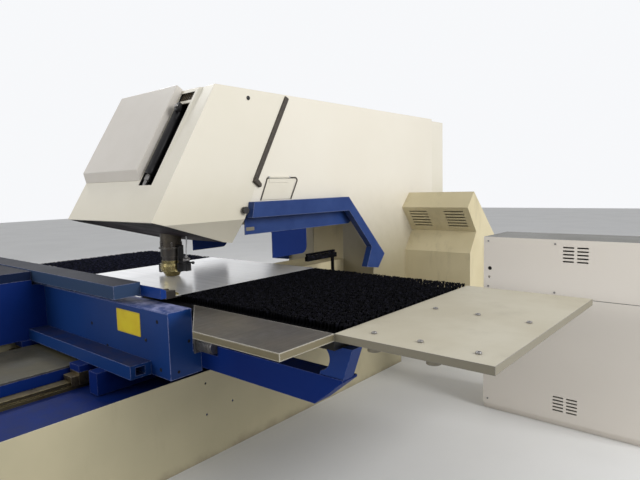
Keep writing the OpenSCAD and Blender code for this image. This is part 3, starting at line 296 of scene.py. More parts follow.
finishes = {
    "cream": painted("creamPaint", {
        "colour": (0.80, 0.755, 0.645), "patch": (0.765, 0.72, 0.60), "edge": (0.88, 0.85, 0.77),
        "edgeWidth": 0.004, "edgeAmount": 0.45, "edgeFrom": 0.3, "rough": 0.36, "coat": 0.15,
        "dust": (0.62, 0.58, 0.50), "dustAmount": 0.18, "patchScale": 0.9,
        "low": (0.60, 0.55, 0.41), "lowTop": 1.80, "lowEnd": 1.42, "lowAmount": 0.45}),
    "mainCream": painted("mainCreamPaint", {
        "colour": (0.83, 0.785, 0.68), "patch": (0.80, 0.75, 0.64), "edge": (0.88, 0.85, 0.77),
        "edgeWidth": 0.004, "edgeAmount": 0.45, "edgeFrom": 0.3, "rough": 0.36, "coat": 0.15,
        "patchScale": 0.8, "low": (0.24, 0.20, 0.095), "lowTop": 1.75, "lowEnd": 0.75}),
    # Front cover: the hood's cream made darker and cooler, painted shade for how the light falls on it
    "shadedCoverCream": painted("shadedCoverCreamPaint", {
        "colour": (0.67, 0.63, 0.575), "patch": (0.63, 0.59, 0.53), "edge": (0.84, 0.81, 0.72),
        "edgeWidth": 0.005, "edgeAmount": 0.6, "edgeFrom": 0.3, "rough": 0.38, "coat": 0.12}),
    "windowBrown": painted("windowBrownPaint", {
        "colour": (0.085, 0.062, 0.036), "patch": (0.055, 0.040, 0.022), "edge": (0.16, 0.12, 0.07),
        "edgeWidth": 0.002, "edgeAmount": 0.5, "rough": 0.5, "patchScale": 12}),
    "wornCream": painted("wornCreamPaint", {
        "colour": (0.50, 0.465, 0.365), "patch": (0.44, 0.40, 0.30), "edge": (0.20, 0.19, 0.18),
        "edgeWidth": 0.006, "edgeFrom": 0.36, "rough": 0.42, "patchScale": 2.2,
        "side": (0.20, 0.18, 0.13), "stain": (0.30, 0.27, 0.20), "stainAmount": 0.3,
        "scratch": (0.66, 0.63, 0.56), "scratchAmount": 0.3}),
    # Middle cover: cream darkened as painted shadow of the beam and the drive housing above it
    "shadowedCream": painted("shadowedCreamPaint", {
        "colour": (0.105, 0.094, 0.055), "patch": (0.052, 0.049, 0.031), "edge": (0.40, 0.37, 0.28),
        "edgeWidth": 0.005, "edgeAmount": 0.7, "rough": 0.34, "patchScale": 5,
        "side": (0.055, 0.055, 0.06), "stain": (0.06, 0.05, 0.03), "stainAmount": 0.6}),
    "cladding": painted("claddingPaint", {
        "colour": (0.47, 0.42, 0.275), "patch": (0.40, 0.36, 0.235), "edge": (0.66, 0.62, 0.49),
        "edgeWidth": 0.004, "edgeAmount": 0.6, "rough": 0.42, "low": (0.16, 0.13, 0.09), "lowTop": 0.12,
        "stain": (0.28, 0.24, 0.16)}),
    "blue": painted("bluePaint", {
        "colour": (0.007, 0.040, 0.215), "patch": (0.006, 0.031, 0.175), "edge": (0.16, 0.20, 0.42),
        "edgeWidth": 0.005, "edgeAmount": 0.7, "rough": 0.4, "specular": 0.18,
        "dust": (0.10, 0.13, 0.30), "scratch": (0.20, 0.24, 0.42), "scratchAmount": 0.3}),
    "archBlue": painted("archBluePaint", {
        "colour": (0.020, 0.052, 0.190), "patch": (0.012, 0.038, 0.160), "edge": (0.24, 0.27, 0.42),
        "edgeWidth": 0.007, "edgeAmount": 0.85, "edgeFrom": 0.36, "rough": 0.42, "specular": 0.25,
        "patchScale": 6, "scratch": (0.30, 0.32, 0.42), "scratchAmount": 0.5}),
    "armBlue": painted("armBluePaint", {
        "colour": (0.004, 0.024, 0.145), "patch": (0.003, 0.017, 0.110), "edge": (0.14, 0.17, 0.36),
        "edgeWidth": 0.005, "edgeAmount": 0.7, "rough": 0.42, "specular": 0.12}),
    "deepBlue": painted("deepBluePaint", {
        "colour": (0.003, 0.024, 0.165), "patch": (0.003, 0.016, 0.125), "edge": (0.12, 0.15, 0.33),
        "edgeWidth": 0.007, "edgeFrom": 0.38, "rough": 0.42, "specular": 0.08,
        "dust": (0.020, 0.028, 0.075), "dustAmount": 0.4,
        "scratch": (0.09, 0.12, 0.26), "scratchAmount": 0.16}),
    "wornBlue": painted("wornBluePaint", {
        "colour": (0.008, 0.042, 0.185), "patch": (0.005, 0.030, 0.145), "edge": (0.30, 0.33, 0.55),
        "edgeWidth": 0.008, "edgeAmount": 0.95, "edgeFrom": 0.34, "rough": 0.36, "specular": 0.2,
        "dust": (0.40, 0.42, 0.68), "dustAmount": 0.9,
        "scratch": (0.16, 0.19, 0.36), "scratchAmount": 0.22}),
    "barBlue": painted("barBluePaint", {
        "colour": (0.008, 0.030, 0.125), "patch": (0.005, 0.020, 0.09), "edge": (0.24, 0.28, 0.50),
        "edgeWidth": 0.007, "edgeAmount": 0.9, "edgeFrom": 0.36, "rough": 0.4, "specular": 0.15,
        "dust": (0.035, 0.035, 0.075), "dustAmount": 0.7, "side": (0.005, 0.038, 0.17),
        "scratch": (0.12, 0.15, 0.30), "scratchAmount": 0.2}),
    "oliveCream": painted("oliveCreamPaint", {
        "colour": (0.69, 0.61, 0.40), "patch": (0.61, 0.53, 0.33), "edge": (0.80, 0.76, 0.62),
        "edgeWidth": 0.004, "edgeAmount": 0.5, "rough": 0.42,
        "stain": (0.24, 0.20, 0.11), "stainAmount": 0.4}),
    "cabinet": painted("cabinetPaint", {
        "colour": (0.075, 0.072, 0.055), "patch": (0.065, 0.062, 0.048), "edge": (0.80, 0.78, 0.76),
        "side": (0.83, 0.775, 0.70), "low": (0.36, 0.35, 0.29), "lowTop": 0.84, "lowEnd": 0.78,
        "edgeWidth": 0.003, "edgeAmount": 0.6, "rough": 0.34, "peel": 120, "bump": 0.12,
        "specular": 0.3}),
    "greyPlate": painted("greyPlatePaint", {
        "colour": (0.012, 0.014, 0.023), "patch": (0.018, 0.018, 0.027), "edge": (0.34, 0.35, 0.50),
        "edgeWidth": 0.006, "edgeAmount": 0.85, "edgeFrom": 0.36, "rough": 0.5,
        "specular": 0.04, "side": (0.010, 0.019, 0.055), "dust": (0.036, 0.035, 0.047),
        "scratch": (0.16, 0.16, 0.23), "scratchAmount": 0.35}),
    "railBlue": painted("railBluePaint", {
        "colour": (0.014, 0.017, 0.028), "patch": (0.021, 0.022, 0.031), "edge": (0.30, 0.32, 0.48),
        "edgeWidth": 0.006, "edgeAmount": 0.85, "edgeFrom": 0.36, "rough": 0.44, "specular": 0.04,
        "side": (0.034, 0.060, 0.120), "dust": (0.038, 0.037, 0.048)}),
    "black": painted("blackPaint", {
        "colour": (0.007, 0.007, 0.008), "patch": (0.013, 0.012, 0.013), "edge": (0.12, 0.115, 0.115),
        "edgeWidth": 0.002, "edgeAmount": 0.5, "rough": 0.3, "specular": 0.25}),
    # Dark lining under the head's belly: painted shade of the hollow underside
    "underShade": painted("undersideShade", {
        "colour": (0.030, 0.024, 0.030), "patch": (0.016, 0.013, 0.015), "edge": (0.07, 0.06, 0.06),
        "edgeWidth": 0.003, "edgeAmount": 0.5, "rough": 0.6, "specular": 0.1, "patchScale": 8}),
    "yellow": painted("yellowPaint", {
        "colour": (0.78, 0.62, 0.015), "patch": (0.72, 0.53, 0.012), "edge": (0.40, 0.26, 0.08),
        "edgeWidth": 0.016, "edgeAmount": 0.95, "edgeFrom": 0.34, "rough": 0.45, "patchScale": 7,
        "stain": (0.40, 0.24, 0.03)}),
    # Black discs in place of holes that are not cut: painted shade inside the holes
    "hole": painted("holeBlack", {
        "colour": (0.012, 0.012, 0.013), "patch": (0.018, 0.017, 0.017), "edge": (0.05, 0.05, 0.05),
        "edgeWidth": 0.001, "edgeAmount": 0.3, "rough": 0.6, "specular": 0.15}),
    "steelBright": steel("brightSteel", {
        "colour": (0.62, 0.61, 0.60), "patch": (0.48, 0.47, 0.46), "rough": 0.26}),
    "steelDull": steel("dullSteel", {
        "colour": (0.26, 0.25, 0.245), "patch": (0.17, 0.165, 0.16), "rough": 0.42,
        "rust": (0.12, 0.09, 0.06), "rustAmount": 0.4, "edge": (0.5, 0.49, 0.48)}),
    "steelPlate": steel("plateSteel", {
        "colour": (0.062, 0.050, 0.036), "patch": (0.030, 0.027, 0.024), "rough": 0.44,
        "along": (1, 0.05, 1), "cloud": 3.2, "rust": (0.11, 0.10, 0.10), "rustScale": 4,
        "metal": 0.35, "side": (0.17, 0.145, 0.085), "edgeWidth": 0.008, "edge": (0.78, 0.75, 0.68)}),
    "steelDark": steel("darkSteel", {
        "colour": (0.085, 0.078, 0.072), "patch": (0.05, 0.045, 0.04), "rough": 0.38,
        "rust": (0.13, 0.085, 0.05), "rustAmount": 0.45, "edge": (0.35, 0.33, 0.31)}),
    "railSteel": steel("railSteel", {
        "colour": (0.17, 0.14, 0.07), "patch": (0.085, 0.065, 0.03), "rough": 0.36, "along": (1, 0.04, 1),
        "rust": (0.07, 0.04, 0.018), "rustAmount": 0.6, "edge": (0.36, 0.31, 0.17)}),
    "ramSteel": steel("ramSteel", {
        "colour": (0.075, 0.062, 0.045), "patch": (0.035, 0.028, 0.02), "rough": 0.4, "metal": 0.5,
        "cloud": 9, "rust": (0.16, 0.12, 0.07), "rustAmount": 0.4}),
    "bronze": steel("wornBronze", {
        "colour": (0.40, 0.34, 0.15), "patch": (0.15, 0.12, 0.05), "rough": 0.3, "cloud": 18,
        "rust": (0.09, 0.055, 0.02), "rustScale": 60, "rustAmount": 0.7, "edge": (0.85, 0.74, 0.42)}),
    "shoeBronze": steel("shoeBronze", {
        "colour": (0.24, 0.19, 0.10), "patch": (0.11, 0.085, 0.05), "rough": 0.38, "cloud": 20,
        "rust": (0.05, 0.032, 0.018), "rustScale": 40, "rustAmount": 0.7, "edge": (0.50, 0.45, 0.33)}),
    # Near-white sheet colour: partly a painted reflection of the bright window
    "sheet": sheetFinish({
        "colour": (0.93, 0.93, 0.935), "streak": (0.99, 0.99, 0.99), "metal": 0.55, "rough": 0.235}),
    "fibre": fibreFinish("blackFibre", {
        "colour": (0.0012, 0.0012, 0.0018), "tip": (0.020, 0.020, 0.030),
        "tipFrom": 0.925, "tipTo": 0.956}),
    # Left table's bristles: bluer, with paler tips as painted glints
    "leftFibre": fibreFinish("dustyFibre", {
        "colour": (0.004, 0.005, 0.012), "tip": (0.055, 0.058, 0.12), "tipFrom": 0.928, "tipTo": 0.955}),
    "rubber": rubberFinish("stripRubber", {
        "colour": (0.030, 0.022, 0.015), "patch": (0.055, 0.043, 0.030), "edge": (0.17, 0.15, 0.12),
        "rough": 0.55}),
    "plastic": rubberFinish("knobPlastic", {
        "colour": (0.02, 0.019, 0.019), "patch": (0.03, 0.028, 0.028), "edge": (0.10, 0.10, 0.10),
        "rough": 0.42}),
    "hose": rubberFinish("pipePlastic", {
        "colour": (0.50, 0.50, 0.50), "patch": (0.40, 0.40, 0.40), "edge": (0.6, 0.6, 0.6), "rough": 0.4}),
}

nodeFinishes = {
    "cream": ["head_hood", "rear_hood", "access_door"],
    "shadedCoverCream": ["head_cover"],
    "mainCream": ["main_hood"],
    "wornCream": ["extension_table"],
    "shadowedCream": ["middle_cover"],
    "cladding": ["cladding"],
    "archBlue": ["throat_arches"],
    "armBlue": ["arm_panels"],
    "blue": ["table_brackets", "clamp_rail"],
    "deepBlue": ["bed", "middle_block", "shoe_brackets", "support_frames", "drive_housing"],
    "wornBlue": ["carriage_beam"],
    "barBlue": ["hollow_bar"],
    "oliveCream": ["vent_housing", "c_frame"],
    "cabinet": ["cabinet", "cabinet_upper_panel", "cabinet_lower_panel"],
    "greyPlate": ["housing_lid"],
    "railBlue": ["sheet_rail"],
    # head_liner stands behind the head's slots; its black is painted shade inside the head
    "black": ["head_liner", "head_cylinder", "y_motor", "x_motor", "table_trays", "head_side_blocks"],
    "yellow": ["bare_plate"],
    "steelBright": ["y_screw", "door_pin", "punch", "die", "x_shoes", "x_pinion"],
    "steelDull": ["beam_motor", "screw_nut"],
    "steelPlate": ["front_plate"],
    "steelDark": ["screw_bearings", "tool_spindle", "die_holder", "clamp_bodies", "tool_cassettes"],
    "railSteel": ["y_rails"],
    "ramSteel": ["ram_guide"],
    "bronze": ["tool_holder", "clamp_jaw_right", "clamp_jaw_left"],
    "shoeBronze": ["guide_shoes"],
    "sheet": ["sheet_metal"],
    "fibre": ["brush_right", "rear_brush"],
    "leftFibre": ["brush_left"],
    "rubber": ["hood_joint_strips"],
    "plastic": ["hood_knob"],
    "hose": ["oil_pipe"],
}
dressed = set()
for finishName, nodeNames in nodeFinishes.items():
    for nodeName in nodeNames:
        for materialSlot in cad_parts[nodeName].material_slots:
            materialSlot.material = finishes[finishName]
        dressed.add(nodeName)
left = sorted(set(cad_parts) - dressed)
print("finishes made, nodes without one:", left)


# Shapes


def gridFaces(rows, columns):
    # Quads between neighbouring rows and columns of a grid, its last column joined to the first
    row = np.arange(rows - 1)[:, None]
    column = np.arange(columns)[None, :]
    beside = (column + 1) % columns
    return np.stack([row * columns + column, row * columns + beside,
                     (row + 1) * columns + beside, (row + 1) * columns + column], -1).reshape(-1, 4)


def capped(rows, columns):
    # The grid's quads, and a face that closes each end
    last = (rows - 1) * columns
    ends = [list(range(columns))[::-1], list(range(last, last + columns))]
    return gridFaces(rows, columns).tolist() + ends


def revolved(profile, sides):
    # Point = (r cos a, r sin a, h) for each profile row (r, h) and each of the angles a
    profile = np.asarray(profile, float)
    angle = np.arange(sides) * 2 * np.pi / sides
    spots = np.stack([profile[:, :1] * np.cos(angle), profile[:, :1] * np.sin(angle),
                      np.repeat(profile[:, 1:], sides, 1)], -1).reshape(-1, 3)
    return spots, gridFaces(len(profile), sides)


def pillar(radius, low, high):
    # Upright cylinder about the punch's axis
    return revolved([(0, low), (radius, low), (radius, high), (0, high)], 48)


def inset(loop, wall):
    # Counterclockwise loop moved inwards by wall, along the mean of the two edge normals
    loop = np.asarray(loop, float)
    ahead = np.roll(loop, -1, 0) - loop
    ahead /= np.linalg.norm(ahead, axis=1, keepdims=True)
    normal = np.stack([-ahead[:, 1], ahead[:, 0]], 1)
    mean = normal + np.roll(normal, 1, 0)
    return loop + wall * mean * 2 / (mean * mean).sum(1, keepdims=True)


def slab(loop, thick, bevel):
    # Flat loop of (u, v) points given thickness: four copies of the loop, the outer two drawn
    # in by the bevel, and a cap on each end
    inner = inset(loop, bevel)
    levels = [(inner, 0), (loop, bevel), (loop, thick - bevel), (inner, thick)]
    spots = [np.insert(np.asarray(points, float), 2, level, axis=1) for points, level in levels]
    return np.concatenate(spots), capped(len(levels), len(loop))


def rectangle(x0, y0, x1, y1):
    # Corners of a rectangle, counterclockwise
    return [(x0, y0), (x1, y0), (x1, y1), (x0, y1)]


def cutCorners(xs, ys, cut):
    # Rectangle between two x and two y with cut corners, counterclockwise
    (x0, x1), (y0, y1) = xs, ys
    return [(x0 + cut, y0), (x1 - cut, y0), (x1, y0 + cut), (x1, y1 - cut),
            (x1 - cut, y1), (x0 + cut, y1), (x0, y1 - cut), (x0, y0 + cut)]


def block(xs, ys, zs, cut=0.002, bevel=0.001):
    # Box between two x, two y and two z, its upright corners cut and its rims bevelled
    spots, faces = slab(cutCorners(xs, ys, cut), zs[1] - zs[0], bevel)
    return spots + [0, 0, zs[0]], faces


def prism(loop, axis, low, high):
    # Loop of the two other coordinates, in their order x, y, z, drawn from low to high along axis
    ends = [np.insert(np.asarray(loop, float), axis, level, axis=1) for level in (low, high)]
    return np.concatenate(ends), capped(2, len(loop))


def carried(section, path, guide):
    # Section (u, v) carried along a path: u lies along the path's direction crossed with the guide,
    # and v along that crossed with the direction
    path = np.asarray(path, float)
    ahead = np.gradient(path, axis=0)
    ahead /= np.linalg.norm(ahead, axis=1, keepdims=True)
    side = np.cross(ahead, guide)
    side /= np.linalg.norm(side, axis=1, keepdims=True)
    rise = np.cross(side, ahead)
    spots = path[:, None] + section[None, :, :1] * side[:, None] + section[None, :, 1:] * rise[:, None]
    return spots.reshape(-1, 3), capped(len(path), len(section))


def ring(radius, sides):
    # Circle of points, counterclockwise
    angle = np.arange(sides) * 2 * np.pi / sides
    return np.stack([radius * np.cos(angle), radius * np.sin(angle)], 1)


def faced(spots, origin, across, rise):
    # Moves a shape so that its x runs along across, its y along rise and its z along their cross
    basis = np.array([across, rise, np.cross(across, rise)], float)
    return spots @ basis + np.array(origin, float)


def shifted(faces, count, size):
    # The faces of each of count copies that have size points each
    faces = np.asarray(faces)
    return (faces[None] + np.arange(count)[:, None, None] * size).reshape(-1, faces.shape[1])


def repeated(spots, faces, origins):
    # The same shape at each origin, as one pair of arrays
    origins = np.asarray(origins, float)
    return (spots[None] + origins[:, None]).reshape(-1, 3), shifted(faces, len(origins), len(spots))


def meshOf(name, parts):
    # One mesh from parts, each a pair of points and faces
    spots, faces, start = [], [], 0
    for partSpots, partFaces in parts:
        spots.append(np.asarray(partSpots, float))
        faces += [[start + int(i) for i in face] for face in partFaces]
        start += len(partSpots)
    mesh = bpy.data.meshes.new(name)
    mesh.from_pydata(np.concatenate(spots).tolist(), [], faces)
    return mesh


def pointOut(mesh, merge):
    # Turns all faces outwards, after points in one place are made one where merge is set
    work = bmesh.new()
    work.from_mesh(mesh)
    if merge:
        bmesh.ops.remove_doubles(work, verts=work.verts, dist=1e-6)
        bmesh.ops.dissolve_degenerate(work, edges=work.edges, dist=1e-7)
    bmesh.ops.recalc_face_normals(work, faces=work.faces)
    work.to_mesh(mesh)
    work.free()


def softened(mesh):
    # Smooth shading that stops at edges of more than 35 degrees
    mesh.shade_smooth()
    mesh.set_sharp_from_angle(angle=math.radians(35))


def placed(piece, finish, body, replaces):
    # Gives a piece its finish, and lets it ride on its body
    piece.data.materials.clear()
    piece.data.materials.append(finishes[finish])
    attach(piece, body)
    if replaces:
        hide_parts(*replaces)


def addPiece(name, parts, finish, body, smooth=True, replaces=()):
    # Joins the parts into one mesh, closes its poles, and sets it on its body
    mesh = meshOf(name, parts)
    mesh.validate()
    pointOut(mesh, True)
    if smooth:
        softened(mesh)
    placed(linked(name, mesh), finish, body, replaces)


# Brush tables

brushLook = {
    "pitch": 0.0225, "front": -0.373, "rear": 0.863, "foot": 0.906, "base": 0.0045, "tip": 0.9548,
    "footRadius": 0.0036, "topRadius": 0.0112, "lean": 0.0035, "leanMost": 0.007, "drop": 0.006, "seed": 7,
    "sides": 8, "levels": (0.0, 0.55, 1.0), "widen": 1.6, "notch": 0.45, "fray": 0.010, "sunk": 0.009,
    "leftGap": 0.014, "rightGap": 0.010, "rowGap": 0.009, "frontGap": 0.012, "rearGap": 0.008,
    "inside": 0.0005, "sheet": 0.002, "ridge": (0.004, 0.006, 0.018, 0.020),
}


def tuft(look):
    # A bundle of bristles: rings that widen upwards, the last with every second point drawn in and
    # down, so that the top is frayed, and a sunk middle point. Gives points, quads and triangles
    height = look["tip"] - look["foot"] - look["base"]
    sides = look["sides"]
    angle = np.arange(sides) * 2 * np.pi / sides
    notch = 1 - look["notch"] * (np.arange(sides) % 2)
    levels = np.array(look["levels"])
    radius = look["footRadius"] + (look["topRadius"] - look["footRadius"]) * levels ** look["widen"]
    spots = np.stack([radius[:, None] * np.cos(angle), radius[:, None] * np.sin(angle),
                      (levels * height)[:, None] * np.ones(sides)], -1)
    spots[-1, :, :2] *= notch[:, None]
    spots[-1, :, 2] -= look["fray"] * (1 - notch)
    spots = np.concatenate([spots.reshape(-1, 3), [[0.0, 0.0, height - look["sunk"]]]])
    last = (len(levels) - 1) * sides
    fan = np.array([[last + i, last + (i + 1) % sides, len(spots) - 1] for i in range(sides)])
    return spots, gridFaces(len(levels), sides), fan


def ribbedSheet(low, high, look):
    # Sheet under the tufts: a profile (y, z) with a ridge for each row, drawn from high to low x
    rows = np.arange(look["front"], look["rear"], look["pitch"])
    first, second, third, fourth = look["ridge"]
    sheet, top = look["sheet"], look["base"]
    ridge = np.array([[0, sheet], [first, sheet], [second, top], [third, top], [fourth, sheet]])
    profile = (np.stack([rows, np.zeros_like(rows)], 1)[:, None] + ridge[None]).reshape(-1, 2)
    profile[:, 0] = profile[:, 0].clip(look["front"], look["rear"])
    profile = np.concatenate([[[look["front"], 0]], profile, [[look["rear"], sheet], [look["rear"], 0]]])
    return prism(profile + [0, look["foot"]], 0, high, low)


def brushTable(name, node, low, high, look, finish):
    # Tufts on a staggered grid, each with its own lean, turn and height, over a ribbed base sheet:
    # point = tuft point turned, plus its place, plus lean times the square of its share of height
    rng = np.random.default_rng(look["seed"])
    spots, quads, fan = tuft(look)
    across = np.arange(low + look["leftGap"], high - look["rightGap"], look["pitch"])
    along = np.arange(look["front"] + look["frontGap"], look["rear"] - look["rearGap"], look["pitch"])
    x, y = np.meshgrid(across, along)
    x[1::2] += look["pitch"] / 2
    keep = (x < high - look["rowGap"]).ravel()
    x, y = x.ravel()[keep], y.ravel()[keep]
    count = len(x)
    turn = rng.uniform(0, np.pi, count)
    size = 1 - rng.uniform(0, look["drop"], count) / (look["tip"] - look["foot"])
    lean = rng.normal(0, look["lean"], (count, 2)).clip(-look["leanMost"], look["leanMost"])
    share = spots[:, 2] / spots[:, 2].max()
    px = np.cos(turn)[:, None] * spots[:, 0] - np.sin(turn)[:, None] * spots[:, 1]
    py = np.sin(turn)[:, None] * spots[:, 0] + np.cos(turn)[:, None] * spots[:, 1]
    every = np.stack([px + x[:, None] + lean[:, :1] * share ** 2,
                      py + y[:, None] + lean[:, 1:] * share ** 2,
                      spots[:, 2] * size[:, None] + look["foot"] + look["base"]], -1)
    every[..., 0] = every[..., 0].clip(low + look["inside"], high - look["inside"])
    tufts = [face for kind in (quads, fan) for face in shifted(kind, count, len(spots)).tolist()]
    mesh = meshOf(name, [(every.reshape(-1, 3), tufts), ribbedSheet(low, high, look)])
    placed(linked(name, mesh), finish, "carriage", [node])
    print(name, count, "tufts")


brushTable("rightTufts", "brush_right", 0.280, 1.890, brushLook, "fibre")
brushTable("leftTufts", "brush_left", -1.700, -0.280, brushLook, "leftFibre")
print("brush tables made")

# Head: hood, cover, slot and cylinder

headLook = {
    "lip": (-0.487, 1.391), "lean": 30.9, "halfWidth": 0.540, "top": 2.260, "wall": 0.004, "rearWall": 0.06,
    "belly": [(0.180, 1.205), (0.270, 1.190), (0.242, 1.367), (0.305, 1.481), (0.371, 1.630),
              (0.700, 2.260)],
    "bellyLow": 1.367, "bellyDrop": 0.190, "over": 0.1, "reach": (-0.8, 1.2), "cutDepth": 0.02,
    "slotSides": (0.194, 0.350), "slots": [(0.262, 0.893), (0.915, 0.985)], "ramHole": (0.129, 1.0, 1.45),
    "groove": [(0.375, 0.0), (0.398, 0.016), (0.5395, 0.0)], "grooveFoot": (0.262, 0.03),
    "grooveOver": 0.0004, "grooveEnd": 0.0002, "grooveRise": (0.0, 1.10),
    "grooveWall": (0.355, 0.545, 0.022),
    "coverRight": 0.190, "coverProud": 0.054, "coverLow": 0.296, "coverBend": 0.350, "coverTop": 1.022,
    "coverGap": 0.0003, "coverBevel": 0.004,
    "channelFront": 0.0045, "channelBack": 0.105, "channelOver": 0.004, "channelWall": 0.003,
    "channelRise": (0.252, 0.996),
}
leanSin = math.sin(math.radians(headLook["lean"]))
leanCos = math.cos(math.radians(headLook["lean"]))


def onFront(points):
    # (x, depth, s) on the leaning front: y = lip y + s sin lean + depth cos lean,
    # z = lip z + s cos lean - depth sin lean
    points = np.asarray(points, float)
    y = headLook["lip"][0] + points[..., 2] * leanSin + points[..., 1] * leanCos
    z = headLook["lip"][1] + points[..., 2] * leanCos - points[..., 1] * leanSin
    return np.stack([points[..., 0], y, z], -1)


def frontPrism(loop, axis, low, high):
    # Prism in the front's own x, depth and s
    spots, faces = prism(loop, axis, low, high)
    return onFront(spots), faces


def solid(shape):
    # A shape as an object of its own, faces outwards
    mesh = meshOf("solid", [shape])
    pointOut(mesh, False)
    return linked("solid", mesh)


def combined(base, shape, operation):
    # Boolean of an object and a shape, kept as the mesh of the object
    other = shape if isinstance(shape, bpy.types.Object) else solid(shape)
    change = base.modifiers.new("change", "BOOLEAN")
    change.object, change.operation, change.solver = other, operation, "EXACT"
    graph = bpy.context.evaluated_depsgraph_get()
    result = bpy.data.meshes.new_from_object(base.evaluated_get(graph))
    base.modifiers.clear()
    base.data = result
    bpy.data.objects.remove(other)
    return base


def finished(piece, name, finish, replaces=(), bevel=0.0):
    # Names a solid, gives it its finish and a small bevel, and lets it ride on the machine
    piece.name = name
    if bevel:
        edge = piece.modifiers.new("edge", "BEVEL")
        edge.width, edge.segments, edge.limit_method = bevel, 2, "ANGLE"
        edge.angle_limit = math.radians(25)
        softened(piece.data)
    placed(piece, finish, "machine", replaces)


def headForm(look, wall):
    # Side outline drawn across the width, cut by the belly's leaning sides and by a groove in the
    # front that tapers to its foot. With a wall it is the room inside, where a deeper cut leaves the
    # wall thicker behind the groove
    frontTop = onFront([0, 0, (look["top"] - look["lip"][1]) / leanCos])[1:]
    outline = inset([look["lip"], *look["belly"], tuple(frontTop)], wall)
    side = look["halfWidth"] - wall
    form = solid(prism(outline, 0, -side, side))
    low, drop, high = look["bellyLow"], look["bellyDrop"], look["top"] + look["over"]
    section = [(-side, low), (drop - side, low - drop), (side - drop, low - drop), (side, low),
               (side, high), (-side, high)]
    combined(form, prism(section, 1, *look["reach"]), "INTERSECT")
    if wall:
        left, right, deep = look["grooveWall"]
        loop = rectangle(left, -look["cutDepth"], right, deep)
        return combined(form, frontPrism(loop, 2, *look["grooveRise"]), "DIFFERENCE")
    groove = look["groove"]
    left, right = groove[0][0], groove[-1][0]
    loop = [(left, -look["cutDepth"]), (right + look["grooveOver"], -look["cutDepth"]), *groove[::-1]]
    spots, faces = prism(loop, 2, *look["grooveRise"])
    foot = spots[:len(loop)]
    foot[:, 2] = np.interp(foot[:, 0], [left, right], look["grooveFoot"])
    foot[foot[:, 1] > 0, 1] = look["grooveEnd"]
    return combined(form, (onFront(spots), faces), "DIFFERENCE")


def headPieces(look):
    # Shell = form less the room inside, the same moved back, the slots and the ram guide's hole.
    # The cover is a side outline (depth, s) drawn across, and the channel a section (x, depth)
    # drawn along s
    hood = headForm(look, 0.0)
    inner = headForm(look, look["wall"])
    behind = headForm(look, look["wall"])
    behind.data.transform(Matrix.Translation((0, look["rearWall"], 0)))
    combined(hood, inner, "DIFFERENCE")
    combined(hood, behind, "DIFFERENCE")
    left, right = look["slotSides"]
    for low, high in look["slots"]:
        loop = rectangle(left, -look["cutDepth"], right, look["cutDepth"])
        combined(hood, frontPrism(loop, 2, low, high), "DIFFERENCE")
    combined(hood, pillar(*look["ramHole"]), "DIFFERENCE")
    finished(hood, "headShell", "cream", ["head_hood"])
    gap, top, proud = -look["coverGap"], look["coverTop"], -look["coverProud"]
    loop = [(gap, look["coverLow"]), (gap, top), (proud, top), (proud, look["coverBend"])]
    cover = solid(frontPrism(loop, 0, -look["halfWidth"], look["coverRight"]))
    finished(cover, "frontCover", "shadedCoverCream", ["head_cover"], look["coverBevel"])
    front, back, wall = look["channelFront"], look["channelBack"], look["channelWall"]
    left, right = left - look["channelOver"], right + look["channelOver"]
    channel = [(left, front), (left, back), (right, back), (right, front), (right - wall, front),
               (right - wall, back - wall), (left + wall, back - wall), (left + wall, front)]
    # The black channel paints the shade inside the head behind the slots
    finished(solid(frontPrism(channel, 2, *look["channelRise"])), "slotChannel", "black",
             ["head_liner"])


headPieces(headLook)

cylinderLook = {"place": (0.229, 0.021, 0), "radius": 0.033, "low": 0.352, "high": 0.835, "sides": 32,
                "rodLow": 0.264}


def cylinderPieces(look):
    # Black cylinder with capped ends, and its rod: revolved profiles along the front's s axis
    r, low, high, foot = look["radius"], look["low"], look["high"], look["rodLow"]
    body = [(0, low), (r * 0.93, low), (r, low + 0.004), (r, low + 0.052), (r * 0.94, low + 0.056),
            (r * 0.94, low + 0.066), (r, low + 0.070), (r, high - 0.060), (r * 0.93, high - 0.056),
            (r * 0.93, high - 0.046), (r, high - 0.042), (r, high - 0.004), (r * 0.9, high),
            (r * 0.66, high + 0.002), (r * 0.66, high + 0.040), (r * 0.58, high + 0.045), (0, high + 0.045)]
    rod = [(0, foot), (r * 0.30, foot + 0.002), (r * 0.42, foot + 0.018), (r * 0.42, foot + 0.042),
           (r * 0.60, foot + 0.046), (r * 0.60, foot + 0.076), (r * 0.50, foot + 0.079),
           (r * 0.50, low + 0.002), (0, low + 0.002)]
    shapes = [revolved(profile, look["sides"]) for profile in (body, rod)]
    onAxis = [(onFront(spots + look["place"]), faces) for spots, faces in shapes]
    addPiece("slotCylinder", onAxis[:1], "black", "machine", replaces=["head_cylinder"])
    addPiece("rodEnd", onAxis[1:], "steelDull", "machine")


cylinderPieces(cylinderLook)

capLook = {"place": (0.270, -0.004, 0.850), "radius": 0.026, "sides": 20, "stretch": (1.0, 1.45),
           "thick": 0.030, "bevel": 0.006, "pin": (0.276, -0.0335, 0.850)}
pinProfile = [(0, 0), (0.012, 0), (0.0135, 0.002), (0.0135, 0.009), (0.0115, 0.012), (0.006, 0.012),
              (0, 0.0125)]


def clampCap(look):
    # Oval cap over the bar, and the pin's bright end on it: their z stands out of the front
    cap = slab(ring(look["radius"], look["sides"]) * look["stretch"], look["thick"], look["bevel"])
    pin = revolved(pinProfile, look["sides"])
    for name, (spots, faces), place, finish, slotName in (
            ("clampCap", cap, look["place"], "black", "black_paint"),
            ("clampPin", pin, look["pin"], "steelDull", "steel")):
        out = spots[:, [0, 2, 1]] * [1, -1, 1] + place
        addPiece(name, [(onFront(out), faces)], finish, "machine")


clampCap(capLook)

windowLook = {"pane": (0.192, 0.020, 0.352, 0.026), "rise": (0.905, 0.994), "ribs": (0.206, 0.338, 7),
              "ribHalf": 0.003, "ribDepth": (0.012, 0.021), "ribRise": (0.908, 0.992)}


